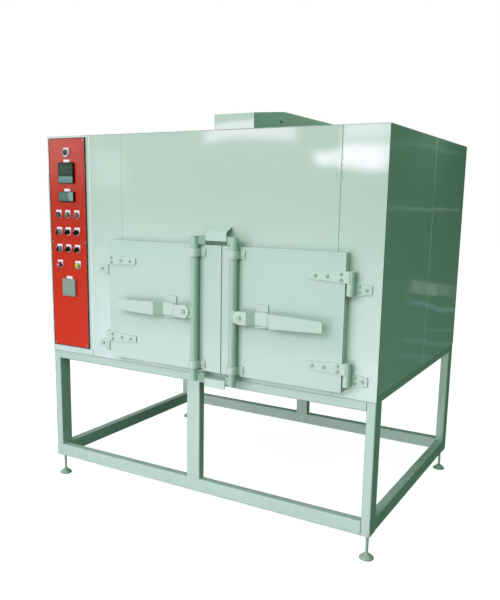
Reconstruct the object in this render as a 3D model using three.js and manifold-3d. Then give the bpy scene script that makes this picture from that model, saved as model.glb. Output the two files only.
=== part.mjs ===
// Industrial drying oven on a welded tube stand.
// Millimetres, +X to the right along the front, +Y to the back, +Z up.
// The origin is on the floor, under the middle of the oven's outer box.
//
// The drawing frame has x = 0 at the middle of the cabinet, y = 0 on the front skin
// and z = 0 on the floor. The last lines move everything to the origin above.

import * as THREE from 'three';
import { mergeVertices } from 'three/addons/utils/BufferGeometryUtils.js';
import Module from 'manifold-3d';

const wasm = await Module();
wasm.setup();

// Overall sizes

const cabinet = {
  width: 1700,
  depth: 1200,
  frontHeight: 1040,
  skirt: 28,
  sheet: 2,
  returnDepth: 20,
  seamGap: 3,
  bottomLip: 26,
  sideSeamShare: 0.525,
};

const clearance = 0.3;
const overrun = 5;

// Stand: rectangular tube, laid flat for the upper side rails, and lower tube for the bottom rails

const tube = { wide: 70, thin: 40, corner: 6 };
const stand = { height: 587, lowerRail: 61, skinSetback: 2.3 };
const foot = {
  height: 108,
  baseRadius: 30,
  baseRim: 5,
  bellRadius: 15,
  bellHeight: 18,
  neckHeight: 25,
  stemRadius: 6,
  stemReach: 45,
  nutRadius: 11,
  nutHeight: 9,
  boreSlack: 0.5,
};

// Front layout: the red control bay is at the left, the doors are right of it

const bay = { width: 265, sideMargin: 17.5, bottomMargin: 34 };
const controlPanel = { width: 224, height: 994, proud: 6, sheet: 2, returnDepth: 16, fit: 3, rebate: 12 };
const doorway = { leftPost: 192, rightPost: 182, bottomLap: 45, topLap: 43 };

// Doors, hinged at their outer edges, meeting right of the doorway's middle

const door = {
  proud: 40,
  sheet: 2,
  height: 543,
  bottomLift: 28,
  sideLapLeft: 45,
  sideLapRight: 50,
  meetingOffset: 30,
  meetingGap: 5,
  backGap: 3,
  plugReach: 45,
  plugSideFit: 13,
  plugMeetingFit: 13,
  plugEndFit: 9,
  plugTaper: 6,
};
const gasket = { width: 17, thick: 2.4, inset: 14 };

// Lift-off strap hinges

const hinge = {
  axisOut: 17,
  axisProud: 28,
  knuckleRadius: 15,
  knuckleHeight: 46,
  lowerKnuckleHeight: 48,
  pinRadius: 5,
  pinReach: 36,
  pinSlack: 0.4,
  strapThick: 5,
  strapLength: 172,
  strapStraight: 33,
  strapEndHeight: 28,
  leafThick: 6,
  leafReach: 77,
  leafEndHeight: 35,
  webStart: 3,
  webEnd: 17,
  splitLow: 100,
  splitHigh: 456,
};
const strapBoltShares = [
  { along: 0.19, up: 0.74 },
  { along: 0.19, up: 0.26 },
  { along: 0.52, up: 0.5 },
  { along: 0.81, up: 0.5 },
];
const leafBoltShares = [
  { along: 0.34, up: 0.78 },
  { along: 0.34, up: 0.28 },
  { along: 0.74, up: 0.5 },
];
const boltHead = { radius: 6.5, height: 4.5, domeShare: 0.7 };

// Lock bars with cams, their guides, keepers, levers and lever rests

const lockBar = {
  spacing: 192,
  offCentre: 3,
  proud: 60,
  radius: 17,
  topAboveSeam: 609,
  bottomBelowSeam: 15,
};
const cam = { height: 34, keeperGap: 1, back: 34, thick: 14, noseWidth: 16 };
const lug = { thick: 12, radius: 24, front: 18 };
const pivot = { boltRadius: 5, headRadius: 10, headHeight: 7, slack: 0.5 };
const lever = {
  thick: 6,
  aboveSeam: 285,
  hubRadius: 28,
  hubWidth: 52,
  joggleRun: 27,
  restProud: 53,
  bladeProud: 85,
  restHeight: 56,
  bladeHeight: 59,
  tipHeight: 43,
  tipRound: 5,
};
// Places along each lever and its rest, outwards from the bar's axis

const leverPlan = {
  left: {
    pivot: 42,
    joggleEnd: 118,
    restEnd: 169,
    bladeStart: 201,
    edgeGap: 73,
    plateStart: 105,
    plateEnd: 155,
  },
  right: {
    pivot: 42,
    joggleEnd: 102,
    restEnd: 152,
    bladeStart: 186,
    edgeGap: 67,
    plateStart: 106,
    plateEnd: 156,
  },
};
const leverRest = { plateThick: 6, plateRise: 58, ledgeReach: 15, ledgeThick: 6 };
const guide = {
  height: 34,
  lowAboveSeam: 39,
  highAboveSeam: 522,
  thick: 5,
  slack: 0.8,
  flangeReach: 45,
  boltReach: 36,
};
const keeper = {
  width: 102,
  reach: 46,
  thick: 4,
  lipHeight: 38,
  upperRise: 648,
  upperDrop: 21,
  lowerDrop: 2,
  backHeight: 14,
};

// Chamber: steel liner in its mineral wool jacket, air guide, heaters and fan

const chamber = { jacket: 43, liner: 3, backSpace: 50.7, floorAboveSeam: 76, ceilingAboveSeam: 525 };
const airGuide = {
  sheet: 2,
  sideGap: 60,
  topGap: 86,
  frontY: 62,
  backGap: 40,
  ledgeDepth: 22,
  ledgeRiseShares: [0.3, 0.66],
  slotLength: 92,
  slotHeight: 14,
  slotColumnCount: 6,
  slotRowShares: [0.14, 0.48, 0.84],
  intakeRadius: 140,
  intakeSlotCount: 9,
  intakeSlotWidth: 18,
};
const shelf = {
  rail: 12,
  bar: 5,
  barDrop: 1.5,
  thick: 10,
  barCount: 12,
  sideFit: 4,
  frontSet: 14,
  backSet: 30,
};
const fan = {
  radius: 135,
  eyeRadius: 75,
  bladeHeight: 46,
  disc: 3,
  bladeCount: 10,
  bladeThick: 3,
  bladeLean: 0.75,
  shaftRadius: 10,
  shaftSlack: 4,
  motorEntry: 24,
  entrySlack: 0.4,
  backShare: 0.42,
};
const motor = {
  radius: 82,
  height: 210,
  plate: 10,
  plateSize: 240,
  capHeight: 26,
  ribCount: 12,
  ribDepth: 7,
  ribWidth: 9,
};
const heater = {
  rodRadius: 6,
  pitch: 44,
  hairpinCount: 3,
  length: 270,
  plate: 4,
  margin: 26,
  liftShare: 0.5,
  plateShare: 0.8,
};

// Duct housing on the roof: its top climbs to the back, then runs level

const housing = {
  rightInset: 562,
  width: 187,
  front: 1,
  depth: 870,
  frontHeight: 60,
  height: 91,
  climb: 261,
  sheet: 3,
};
const roof = { sheet: 2, flange: 30 };
const backPanel = {
  coverWidth: 620,
  coverHeight: 420,
  coverProud: 3,
  glandRadius: 16,
  glandReach: 24,
  glandInset: 120,
};

// Control panel devices

const device = { radius: 10.5, hole: 11.2, behind: 38, collarRadius: 14.5, collarFront: 13, pitchX: 57.5 };
const legend = { width: 32, rise: 22, thick: 1.5, rimSteps: 6 };
const strip = { width: 42, height: 12 };
const lamp = { front: 19, domeShare: 0.6 };
const grip = { baseFront: 18, front: 40, length: 25, width: 8 };
const pushButton = { front: 18 };
const mainSwitch = { escutcheonRadius: 21, front: 22, gripLength: 20 };
const meter = {
  proud: 10,
  corner: 3,
  recess: 2,
  border: 7,
  bodyFit: 2.5,
  bodyDepth: 60,
  longSide: 96,
  shortSide: 48,
};
const cover = { width: 82, height: 84, proud: 9, corner: 4, wall: 2, centreAboveSeam: 325 };
const deviceRowsAboveSeam = { lamps: 674, upperSelectors: 592.5, lowerSelectors: 511, buttons: 434 };
const panelItemsAboveSeam = { mainSwitch: 965, controller: 870, timer: 759 };
const stripsAboveSeam = [925, 790, 373];

// Places that follow from the sizes above

const halfWidth = cabinet.width / 2;
const standTop = foot.height + stand.height;
const seam = standTop - cabinet.skirt;
const cabinetTop = seam + cabinet.frontHeight;
const skinTop = cabinetTop - roof.sheet - clearance;
const wallBase = standTop + clearance;
const bayRight = -halfWidth + bay.width;
const doorwayLeft = bayRight + doorway.leftPost;
const doorwayRight = halfWidth - doorway.rightPost;
const doorEdges = { left: doorwayLeft - door.sideLapLeft, right: doorwayRight + door.sideLapRight };
const doorSetCentre = (doorEdges.left + doorEdges.right) / 2;
const meetingX = doorSetCentre + door.meetingOffset;
const lockCentre = doorSetCentre + lockBar.offCentre;
const camReach = lockBar.spacing / 2 - keeper.width / 2 - cam.keeperGap;
const doorBottom = seam + door.bottomLift;
const doorTop = doorBottom + door.height;
const openingBottom = doorBottom + doorway.bottomLap;
const openingTop = doorTop - doorway.topLap;
const doorFace = -door.proud;
const leverZ = seam + lever.aboveSeam;
const roundSteps = 24;
const smallSteps = 12;
const boltSteps = 6;
const rodSteps = 8;
const footSteps = 16;
const cornerSteps = 3;

// Solid helpers

const weldTolerance = 1e-4;

function toSolid(geometry) {
  const plain = geometry.clone();
  plain.deleteAttribute('normal');
  plain.deleteAttribute('uv');
  const welded = mergeVertices(plain, weldTolerance);
  const mesh = new wasm.Mesh({
    numProp: 3,
    vertProperties: new Float32Array(welded.attributes.position.array),
    triVerts: new Uint32Array(welded.index.array),
  });
  return new wasm.Manifold(mesh);
}

function toGeometry(solid) {
  const mesh = solid.getMesh();
  const geometry = new THREE.BufferGeometry();
  geometry.setAttribute('position', new THREE.BufferAttribute(mesh.vertProperties, mesh.numProp));
  geometry.setIndex(new THREE.BufferAttribute(mesh.triVerts, 1));
  geometry.computeVertexNormals();
  return geometry;
}

function join(...geometries) {
  let solid = toSolid(geometries[0]);
  for (const geometry of geometries.slice(1)) {
    solid = solid.add(toSolid(geometry));
  }
  return toGeometry(solid);
}

function cut(geometry, ...cutters) {
  let solid = toSolid(geometry);
  for (const cutter of cutters) {
    solid = solid.subtract(toSolid(cutter));
  }
  return toGeometry(solid);
}

function keepCommon(geometry, other) {
  return toGeometry(toSolid(geometry).intersect(toSolid(other)));
}

function block(xa, xb, ya, yb, za, zb) {
  const width = Math.abs(xb - xa);
  const depth = Math.abs(yb - ya);
  const height = Math.abs(zb - za);
  const geometry = new THREE.BoxGeometry(width, depth, height);
  return geometry.translate((xa + xb) / 2, (ya + yb) / 2, (za + zb) / 2);
}

// An outline from corner points, with each corner rounded to the given radius

function outline(points, radius = 0) {
  const shape = new THREE.Shape();
  const corners = points.map(([u, v]) => new THREE.Vector2(u, v));
  corners.forEach((corner, index) => {
    const before = corners[(index + corners.length - 1) % corners.length];
    const after = corners[(index + 1) % corners.length];
    const room = Math.min(corner.distanceTo(before), corner.distanceTo(after)) / 2;
    const bite = Math.min(radius, room);
    const entry = before.clone().sub(corner).setLength(bite).add(corner);
    const exit = after.clone().sub(corner).setLength(bite).add(corner);
    if (index === 0) {
      shape.moveTo(entry.x, entry.y);
    } else {
      shape.lineTo(entry.x, entry.y);
    }
    if (bite > 0) {
      shape.quadraticCurveTo(corner.x, corner.y, exit.x, exit.y);
    }
  });
  shape.closePath();
  return shape;
}

function rectangle(ua, ub, va, vb) {
  return [[ua, va], [ub, va], [ub, vb], [ua, vb]];
}

function sweep(shape, length, steps) {
  return new THREE.ExtrudeGeometry(shape, { depth: length, bevelEnabled: false, curveSegments: steps });
}

// Plan outline in x and y, raised from za to zb

function raise(shape, za, zb, steps = cornerSteps) {
  return sweep(shape, zb - za, steps).translate(0, 0, za);
}

// Front outline in x and z, run from ya back to yb

function runBack(shape, ya, yb, steps = cornerSteps) {
  const turn = new THREE.Matrix4().makeBasis(
    new THREE.Vector3(1, 0, 0), new THREE.Vector3(0, 0, 1), new THREE.Vector3(0, -1, 0),
  );
  return sweep(shape, yb - ya, steps).applyMatrix4(turn).translate(0, yb, 0);
}

// Side outline in y and z, run from xa across to xb

function runAcross(shape, xa, xb, steps = cornerSteps) {
  const turn = new THREE.Matrix4().makeBasis(
    new THREE.Vector3(0, 1, 0), new THREE.Vector3(0, 0, 1), new THREE.Vector3(1, 0, 0),
  );
  return sweep(shape, xb - xa, steps).applyMatrix4(turn).translate(xa, 0, 0);
}

function post(x, y, radius, za, zb, steps = roundSteps) {
  const geometry = new THREE.CylinderGeometry(radius, radius, zb - za, steps);
  return geometry.rotateX(Math.PI / 2).translate(x, y, (za + zb) / 2);
}

function studBack(x, z, radius, ya, yb, steps = roundSteps, frontRadius = radius) {
  const geometry = new THREE.CylinderGeometry(radius, frontRadius, yb - ya, steps);
  return geometry.translate(x, (ya + yb) / 2, z);
}

// An open tray: a front sheet with walls folded back on its four edges

function tray(xa, xb, front, back, za, zb, sheet) {
  const shell = block(xa, xb, front, back, za, zb);
  const hollow = block(xa + sheet, xb - sheet, front + sheet, back + overrun, za + sheet, zb - sheet);
  return cut(shell, hollow);
}

// Finishes and the assembly

const finishes = {
  mint: { color: 0xb9cfc6, roughness: 0.32, metalness: 0.0 },
  red: { color: 0xd23a24, roughness: 0.4, metalness: 0.0 },
  steel: { color: 0xb9bcbd, roughness: 0.35, metalness: 0.9 },
  zinc: { color: 0xc2c4c0, roughness: 0.45, metalness: 0.8 },
  rubber: { color: 0x3a3835, roughness: 0.9, metalness: 0.0 },
  black: { color: 0x17181a, roughness: 0.45, metalness: 0.0 },
  grey: { color: 0x9db0aa, roughness: 0.5, metalness: 0.0 },
  green: { color: 0x8fbf4a, roughness: 0.3, metalness: 0.0 },
  magenta: { color: 0x9c2a4a, roughness: 0.3, metalness: 0.0 },
  iron: { color: 0x5f6666, roughness: 0.6, metalness: 0.3 },
};

const oven = new THREE.Group();

function addPart(name, geometry, finish) {
  const material = new THREE.MeshStandardMaterial(finishes[finish]);
  const mesh = new THREE.Mesh(geometry, material);
  mesh.name = name;
  oven.add(mesh);
  return mesh;
}

const sides = [
  { name: 'left', sign: -1 },
  { name: 'right', sign: 1 },
];

// Stand

const standFront = stand.skinSetback;
const standBack = cabinet.depth - stand.skinSetback;
const railFloor = foot.height;

function sideFrame(sign) {
  const outer = sign * halfWidth;
  const inner = sign * (halfWidth - tube.thin);
  const flatInner = sign * (halfWidth - tube.wide);
  const legOutline = (ya, yb) => outline(
    rectangle(Math.min(outer, inner), Math.max(outer, inner), ya, yb),
    tube.corner,
  );
  const frontLeg = raise(legOutline(standFront, standFront + tube.wide), railFloor, standTop);
  const rearLeg = raise(legOutline(standBack - tube.wide, standBack), railFloor, standTop);
  const railStart = standFront + tube.wide - overrun;
  const railEnd = standBack - tube.wide + overrun;
  const lowPoints = rectangle(
    Math.min(outer, inner),
    Math.max(outer, inner),
    railFloor,
    railFloor + stand.lowerRail,
  );
  const lowRail = runBack(outline(lowPoints, tube.corner), railStart, railEnd);
  const highPoints = rectangle(
    Math.min(outer, flatInner),
    Math.max(outer, flatInner),
    standTop - tube.thin,
    standTop,
  );
  const highRail = runBack(outline(highPoints, tube.corner), railStart, railEnd);
  const footX = sign * (halfWidth - tube.thin / 2);
  const boreTop = railFloor + foot.stemReach + overrun;
  const footBores = footRows.map(
    (y) => post(footX, y, foot.stemRadius + foot.boreSlack, railFloor - overrun, boreTop, smallSteps),
  );
  return cut(join(frontLeg, rearLeg, lowRail, highRail), ...footBores);
}

function middleMember(faceY, depthSign) {
  const nearY = faceY;
  const farY = faceY + depthSign * tube.thin;
  const ya = Math.min(nearY, farY);
  const yb = Math.max(nearY, farY);
  const reach = halfWidth - tube.thin - clearance;
  const rail = (za, zb) => runAcross(outline(rectangle(ya, yb, za, zb), tube.corner), -reach, reach);
  const lowRail = rail(railFloor, railFloor + stand.lowerRail);
  const highRail = rail(standTop - tube.wide, standTop);
  const legOutline = outline(rectangle(-tube.wide / 2, tube.wide / 2, ya, yb), tube.corner);
  const leg = raise(legOutline, railFloor + stand.lowerRail - overrun, standTop - tube.wide + overrun);
  return join(lowRail, highRail, leg);
}

const footRows = [standFront + tube.wide / 2, standBack - tube.wide / 2];

function levellingFoot(x, y) {
  const nutBottom = foot.height - clearance - foot.nutHeight;
  const profile = [
    [0, 0],
    [foot.baseRadius, 0],
    [foot.baseRadius, foot.baseRim],
    [foot.bellRadius, foot.bellHeight],
    [foot.stemRadius, foot.neckHeight],
    [foot.stemRadius, foot.height + foot.stemReach],
    [0, foot.height + foot.stemReach],
  ];
  const points = profile.map(([radius, z]) => new THREE.Vector2(radius, z));
  const screw = new THREE.LatheGeometry(points, footSteps).rotateX(Math.PI / 2);
  const nut = post(0, 0, foot.nutRadius, nutBottom, nutBottom + foot.nutHeight, 6);
  return join(screw, nut).translate(x, y, 0);
}

function addStand() {
  for (const side of sides) {
    addPart(`stand_${side.name}_frame`, sideFrame(side.sign), 'mint');
  }
  addPart('stand_front_member', middleMember(standFront, 1), 'mint');
  addPart('stand_rear_member', middleMember(standBack, -1), 'mint');
  const rows = [
    { name: 'front', y: footRows[0] },
    { name: 'rear', y: footRows[1] },
  ];
  for (const row of rows) {
    for (const side of sides) {
      const x = side.sign * (halfWidth - tube.thin / 2);
      addPart(`foot_${row.name}_${side.name}`, levellingFoot(x, row.y), 'zinc');
    }
  }
}

// Cabinet skins, folded from sheet

const panelLeft = -halfWidth + bay.sideMargin;
const panelRight = panelLeft + controlPanel.width;
const panelBottom = seam + bay.bottomMargin;
const panelTop = panelBottom + controlPanel.height;

function sideSkin(sign) {
  const outer = sign * halfWidth;
  const inner = sign * (halfWidth - cabinet.sheet);
  const flange = sign * (halfWidth - cabinet.returnDepth);
  const wall = block(outer, inner, 0, cabinet.depth, wallBase, skinTop);
  const rear = block(outer, flange, cabinet.depth - cabinet.sheet, cabinet.depth, wallBase, skinTop);
  const grooveA = cabinet.depth * cabinet.sideSeamShare - cabinet.seamGap / 2;
  const grooveDepth = cabinet.sheet / 2;
  const groove = block(
    outer + sign * overrun, outer - sign * grooveDepth,
    grooveA, grooveA + cabinet.seamGap, wallBase - overrun, skinTop + overrun,
  );
  return { wall: cut(wall, groove), rear };
}

function frontSheet(xa, xb) {
  return block(xa, xb, 0, cabinet.sheet, seam, skinTop);
}

function sheetReturn(x, sign, za, zb) {
  return block(x, x + sign * cabinet.sheet, 0, cabinet.returnDepth, za, zb);
}

function rightWrap() {
  const edge = doorwayRight + cabinet.seamGap / 2;
  const { wall, rear } = sideSkin(1);
  return join(
    frontSheet(edge, halfWidth),
    sheetReturn(edge, 1, wallBase + cabinet.sheet + clearance, skinTop),
    wall,
    rear,
  );
}

function leftWrap() {
  const edge = bayRight - cabinet.seamGap / 2;
  const { wall, rear } = sideSkin(-1);
  const fit = controlPanel.fit;
  const frame = (grow, ya, yb) => block(
    panelLeft - fit - grow,
    panelRight + fit + grow,
    ya,
    yb,
    panelBottom - fit - grow,
    panelTop + fit + grow,
  );
  const rebateFront = -controlPanel.proud + controlPanel.sheet + controlPanel.returnDepth + clearance;
  const rebateBack = rebateFront + cabinet.sheet;
  const rebate = cut(
    frame(cabinet.sheet, 0, rebateBack),
    frame(0, -overrun, rebateFront),
    frame(-controlPanel.rebate, -overrun, rebateBack + overrun),
  );
  const opening = frame(0, -overrun, cabinet.sheet + overrun);
  return join(cut(frontSheet(-halfWidth, edge), opening), rebate, wall, rear);
}

function postPanel() {
  const xa = bayRight + cabinet.seamGap / 2;
  const xb = doorwayLeft - cabinet.seamGap / 2;
  const base = wallBase + cabinet.sheet + clearance;
  return join(frontSheet(xa, xb), sheetReturn(xa, 1, base, skinTop), sheetReturn(xb, -1, base, skinTop));
}

function lintel() {
  const xa = doorwayLeft + cabinet.seamGap / 2;
  const xb = doorwayRight - cabinet.seamGap / 2;
  return tray(xa, xb, 0, cabinet.returnDepth, openingTop, skinTop, cabinet.sheet);
}

function basePan() {
  const inset = cabinet.sheet + clearance;
  const floor = block(
    -halfWidth + inset, halfWidth - inset, cabinet.bottomLip, cabinet.depth - inset,
    wallBase, wallBase + cabinet.sheet,
  );
  const xa = doorwayLeft + cabinet.seamGap / 2;
  const xb = doorwayRight - cabinet.seamGap / 2;
  const sill = block(xa, xb, 0, cabinet.sheet, seam, openingBottom);
  const lip = block(xa, xb, 0, cabinet.bottomLip, openingBottom - cabinet.sheet, openingBottom);
  const tie = block(xa, xb, 0, cabinet.bottomLip + overrun, wallBase, wallBase + cabinet.sheet);
  return join(floor, sill, lip, tie);
}

function roofPanel() {
  const plate = block(-halfWidth, halfWidth, 0, cabinet.depth, cabinetTop - roof.sheet, cabinetTop);
  const inset = cabinet.returnDepth + cabinet.sheet;
  const low = skinTop - roof.flange;
  const outerRim = block(
    -halfWidth + inset,
    halfWidth - inset,
    inset,
    cabinet.depth - inset,
    low,
    cabinetTop - roof.sheet / 2,
  );
  const rim = inset + roof.sheet;
  const innerRim = block(
    -halfWidth + rim,
    halfWidth - rim,
    rim,
    cabinet.depth - rim,
    low - overrun,
    cabinetTop - roof.sheet,
  );
  return join(plate, cut(outerRim, innerRim));
}

function backSkin() {
  const inset = cabinet.returnDepth + clearance;
  const plate = block(
    -halfWidth + inset,
    halfWidth - inset,
    cabinet.depth - cabinet.sheet,
    cabinet.depth,
    wallBase + cabinet.sheet + clearance,
    skinTop,
  );
  const glandX = -halfWidth + backPanel.glandInset;
  const glandZ = wallBase + backPanel.glandInset;
  const gland = studBack(
    glandX,
    glandZ,
    backPanel.glandRadius,
    cabinet.depth - cabinet.sheet / 2,
    cabinet.depth + backPanel.glandReach,
    6,
  );
  const bore = studBack(
    glandX, glandZ, backPanel.glandRadius / 2,
    cabinet.depth - cabinet.sheet - overrun, cabinet.depth + backPanel.glandReach + overrun, smallSteps,
  );
  return cut(join(plate, gland), bore);
}

function backCover() {
  const base = (wallBase + skinTop) / 2;
  const face = rectangle(
    doorSetCentre - backPanel.coverWidth / 2,
    doorSetCentre + backPanel.coverWidth / 2,
    base,
    base + backPanel.coverHeight,
  );
  const front = cabinet.depth + clearance;
  return runBack(outline(face, tube.corner), front, front + backPanel.coverProud);
}

function ductHousing() {
  const base = cabinetTop + clearance;
  const front = housing.front;
  const back = housing.front + housing.depth;
  const profile = (inset) => outline([
    [front + inset, base - (inset > 0 ? overrun : 0)],
    [back - inset, base - (inset > 0 ? overrun : 0)],
    [back - inset, base + housing.height - inset],
    [front + housing.climb, base + housing.height - inset],
    [front + inset, base + housing.frontHeight - inset],
  ]);
  const right = halfWidth - housing.rightInset;
  const left = right - housing.width;
  const shell = runAcross(profile(0), left, right);
  const hollow = runAcross(profile(housing.sheet), left + housing.sheet, right - housing.sheet);
  return cut(shell, hollow);
}

function addCabinet() {
  addPart('base_pan', basePan(), 'mint');
  addPart('skin_left', leftWrap(), 'mint');
  addPart('skin_right', rightWrap(), 'mint');
  addPart('front_post', postPanel(), 'mint');
  addPart('front_lintel', lintel(), 'mint');
  addPart('back_panel', backSkin(), 'mint');
  addPart('back_cover', backCover(), 'mint');
  addPart('roof_panel', roofPanel(), 'mint');
  addPart('duct_housing', ductHousing(), 'mint');
}

// Chamber and what is in it

const linerLeft = doorwayLeft + cabinet.seamGap / 2;
const linerRight = doorwayRight - cabinet.seamGap / 2;
const collar = cabinet.sheet + clearance;
const chamberFloor = seam + chamber.floorAboveSeam;
const chamberCeiling = seam + chamber.ceilingAboveSeam;
const jacketFront = cabinet.bottomLip + clearance;
const chamberBack = cabinet.depth - cabinet.sheet - chamber.backSpace - chamber.jacket;
const jacketTop = chamberCeiling + chamber.liner + chamber.jacket;
const guideLeft = linerLeft + chamber.liner + airGuide.sideGap;
const guideRight = linerRight - chamber.liner - airGuide.sideGap;
const guideTop = chamberCeiling - airGuide.topGap;
const guideBack = chamberBack - airGuide.backGap;
const fanX = (guideLeft + guideRight) / 2;
const fanY = airGuide.frontY + (guideBack - airGuide.frontY) * (1 - fan.backShare);
const fanBottom = guideTop + (airGuide.topGap - fan.bladeHeight - 2 * fan.disc) / 2;
const fanTop = fanBottom + fan.bladeHeight + 2 * fan.disc;

function insulatedChamber() {
  const side = chamber.jacket;
  const jacket = block(
    linerLeft - side, linerRight + side, jacketFront, chamberBack + chamber.jacket,
    wallBase + cabinet.sheet + clearance, jacketTop,
  );
  const collarBlock = block(
    linerLeft + clearance, linerRight - clearance, collar, jacketFront + overrun,
    chamberFloor - chamber.liner + clearance, chamberCeiling + chamber.liner - clearance,
  );
  const cavity = block(
    linerLeft + chamber.liner,
    linerRight - chamber.liner,
    -overrun,
    chamberBack,
    chamberFloor,
    chamberCeiling,
  );
  const shaftHole = post(
    fanX, fanY, fan.shaftRadius + fan.shaftSlack, chamberCeiling - overrun, jacketTop + overrun, smallSteps,
  );
  return cut(join(jacket, collarBlock), cavity, shaftHole);
}

function slotRow(z, xa, xb) {
  const run = guideBack - airGuide.frontY;
  const pitch = run / airGuide.slotColumnCount;
  const slots = [];
  for (let column = 0; column < airGuide.slotColumnCount; column += 1) {
    const middle = airGuide.frontY + pitch * (column + 1 / 2);
    const half = airGuide.slotLength / 2;
    slots.push(block(xa, xb, middle - half, middle + half, z, z + airGuide.slotHeight));
  }
  return slots;
}

function airGuideSheet() {
  const floor = chamberFloor + clearance;
  const rise = guideTop - floor;
  const shell = block(guideLeft, guideRight, airGuide.frontY, guideBack, floor, guideTop);
  const hollow = block(
    guideLeft + airGuide.sheet, guideRight - airGuide.sheet, airGuide.frontY - overrun, guideBack + overrun,
    floor - overrun, guideTop - airGuide.sheet,
  );
  const ledges = [];
  for (const share of airGuide.ledgeRiseShares) {
    const z = floor + rise * share;
    const near = guideLeft + airGuide.sheet / 2;
    const far = guideRight - airGuide.sheet / 2;
    ledges.push(block(near, near + airGuide.ledgeDepth, airGuide.frontY, guideBack, z, z + airGuide.sheet));
    ledges.push(block(far - airGuide.ledgeDepth, far, airGuide.frontY, guideBack, z, z + airGuide.sheet));
  }
  const slots = [];
  for (const share of airGuide.slotRowShares) {
    const z = floor + rise * share;
    slots.push(...slotRow(z, guideLeft - overrun, guideLeft + airGuide.sheet + overrun));
    slots.push(...slotRow(z, guideRight - airGuide.sheet - overrun, guideRight + overrun));
  }
  const intake = [];
  const intakePitch = 2 * airGuide.intakeRadius / airGuide.intakeSlotCount;
  for (let index = 0; index < airGuide.intakeSlotCount; index += 1) {
    const offset = intakePitch * (index - (airGuide.intakeSlotCount - 1) / 2);
    const half = Math.sqrt(airGuide.intakeRadius ** 2 - offset ** 2);
    const y = fanY + offset;
    intake.push(block(
      fanX - half, fanX + half, y - airGuide.intakeSlotWidth / 2, y + airGuide.intakeSlotWidth / 2,
      guideTop - airGuide.sheet - overrun, guideTop + overrun,
    ));
  }
  return cut(join(cut(shell, hollow), ...ledges), ...slots, ...intake);
}

function shelfGrid(share) {
  const floor = chamberFloor + clearance;
  const base = floor + (guideTop - floor) * share + airGuide.sheet + clearance;
  const xa = guideLeft + airGuide.sheet + shelf.sideFit;
  const xb = guideRight - airGuide.sheet - shelf.sideFit;
  const ya = airGuide.frontY + shelf.frontSet;
  const yb = guideBack - shelf.backSet;
  const top = base + shelf.thick;
  const frame = cut(
    block(xa, xb, ya, yb, base, top),
    block(
      xa + shelf.rail,
      xb - shelf.rail,
      ya + shelf.rail,
      yb - shelf.rail,
      base - overrun,
      top + overrun,
    ),
  );
  const bars = [];
  const pitch = (xb - xa - shelf.rail) / (shelf.barCount + 1);
  for (let index = 1; index <= shelf.barCount; index += 1) {
    const x = xa + shelf.rail / 2 + pitch * index;
    bars.push(block(
      x - shelf.bar / 2, x + shelf.bar / 2, ya + shelf.rail / 2, yb - shelf.rail / 2,
      top - shelf.barDrop - shelf.bar, top - shelf.barDrop,
    ));
  }
  return join(frame, ...bars);
}

function fanWheel() {
  const shaft = post(0, 0, fan.shaftRadius, fanBottom, jacketTop + clearance + fan.motorEntry, smallSteps);
  const backDisc = post(0, 0, fan.radius, fanTop - fan.disc, fanTop, roundSteps);
  const eyeRing = cut(
    post(0, 0, fan.radius, fanBottom, fanBottom + fan.disc, roundSteps),
    post(0, 0, fan.eyeRadius, fanBottom - overrun, fanBottom + fan.disc + overrun, roundSteps),
  );
  const blades = [];
  for (let index = 0; index < fan.bladeCount; index += 1) {
    const blade = block(
      fan.eyeRadius, fan.radius + fan.bladeThick, -fan.bladeThick / 2, fan.bladeThick / 2,
      fanBottom + fan.disc / 2, fanTop - fan.disc / 2,
    );
    blade.translate(-fan.radius, 0, 0).rotateZ(fan.bladeLean).translate(
      fan.radius - 2 * fan.bladeThick,
      0,
      0,
    );
    blade.rotateZ(2 * Math.PI * index / fan.bladeCount);
    blades.push(blade);
  }
  const wheel = join(shaft, backDisc, eyeRing, ...blades);
  return wheel.translate(fanX, fanY, 0);
}

function fanMotor() {
  const base = jacketTop + clearance;
  const half = motor.plateSize / 2;
  const plate = raise(outline(rectangle(-half, half, -half, half), tube.corner), base, base + motor.plate);
  const bodyTop = base + motor.plate + motor.height;
  const barrel = post(0, 0, motor.radius - motor.ribDepth, base + motor.plate / 2, bodyTop, roundSteps);
  const cap = post(0, 0, motor.radius, bodyTop - overrun, bodyTop + motor.capHeight, roundSteps);
  const ribs = [];
  for (let index = 0; index < motor.ribCount; index += 1) {
    const rib = block(
      motor.radius / 2,
      motor.radius,
      -motor.ribWidth / 2,
      motor.ribWidth / 2,
      base + motor.plate / 2,
      bodyTop,
    );
    ribs.push(rib.rotateZ(2 * Math.PI * index / motor.ribCount));
  }
  const bore = post(
    0,
    0,
    fan.shaftRadius + fan.entrySlack,
    base - overrun,
    base + fan.motorEntry + overrun,
    roundSteps,
  );
  return cut(join(plate, barrel, cap, ...ribs), bore).translate(fanX, fanY, 0);
}

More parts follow.
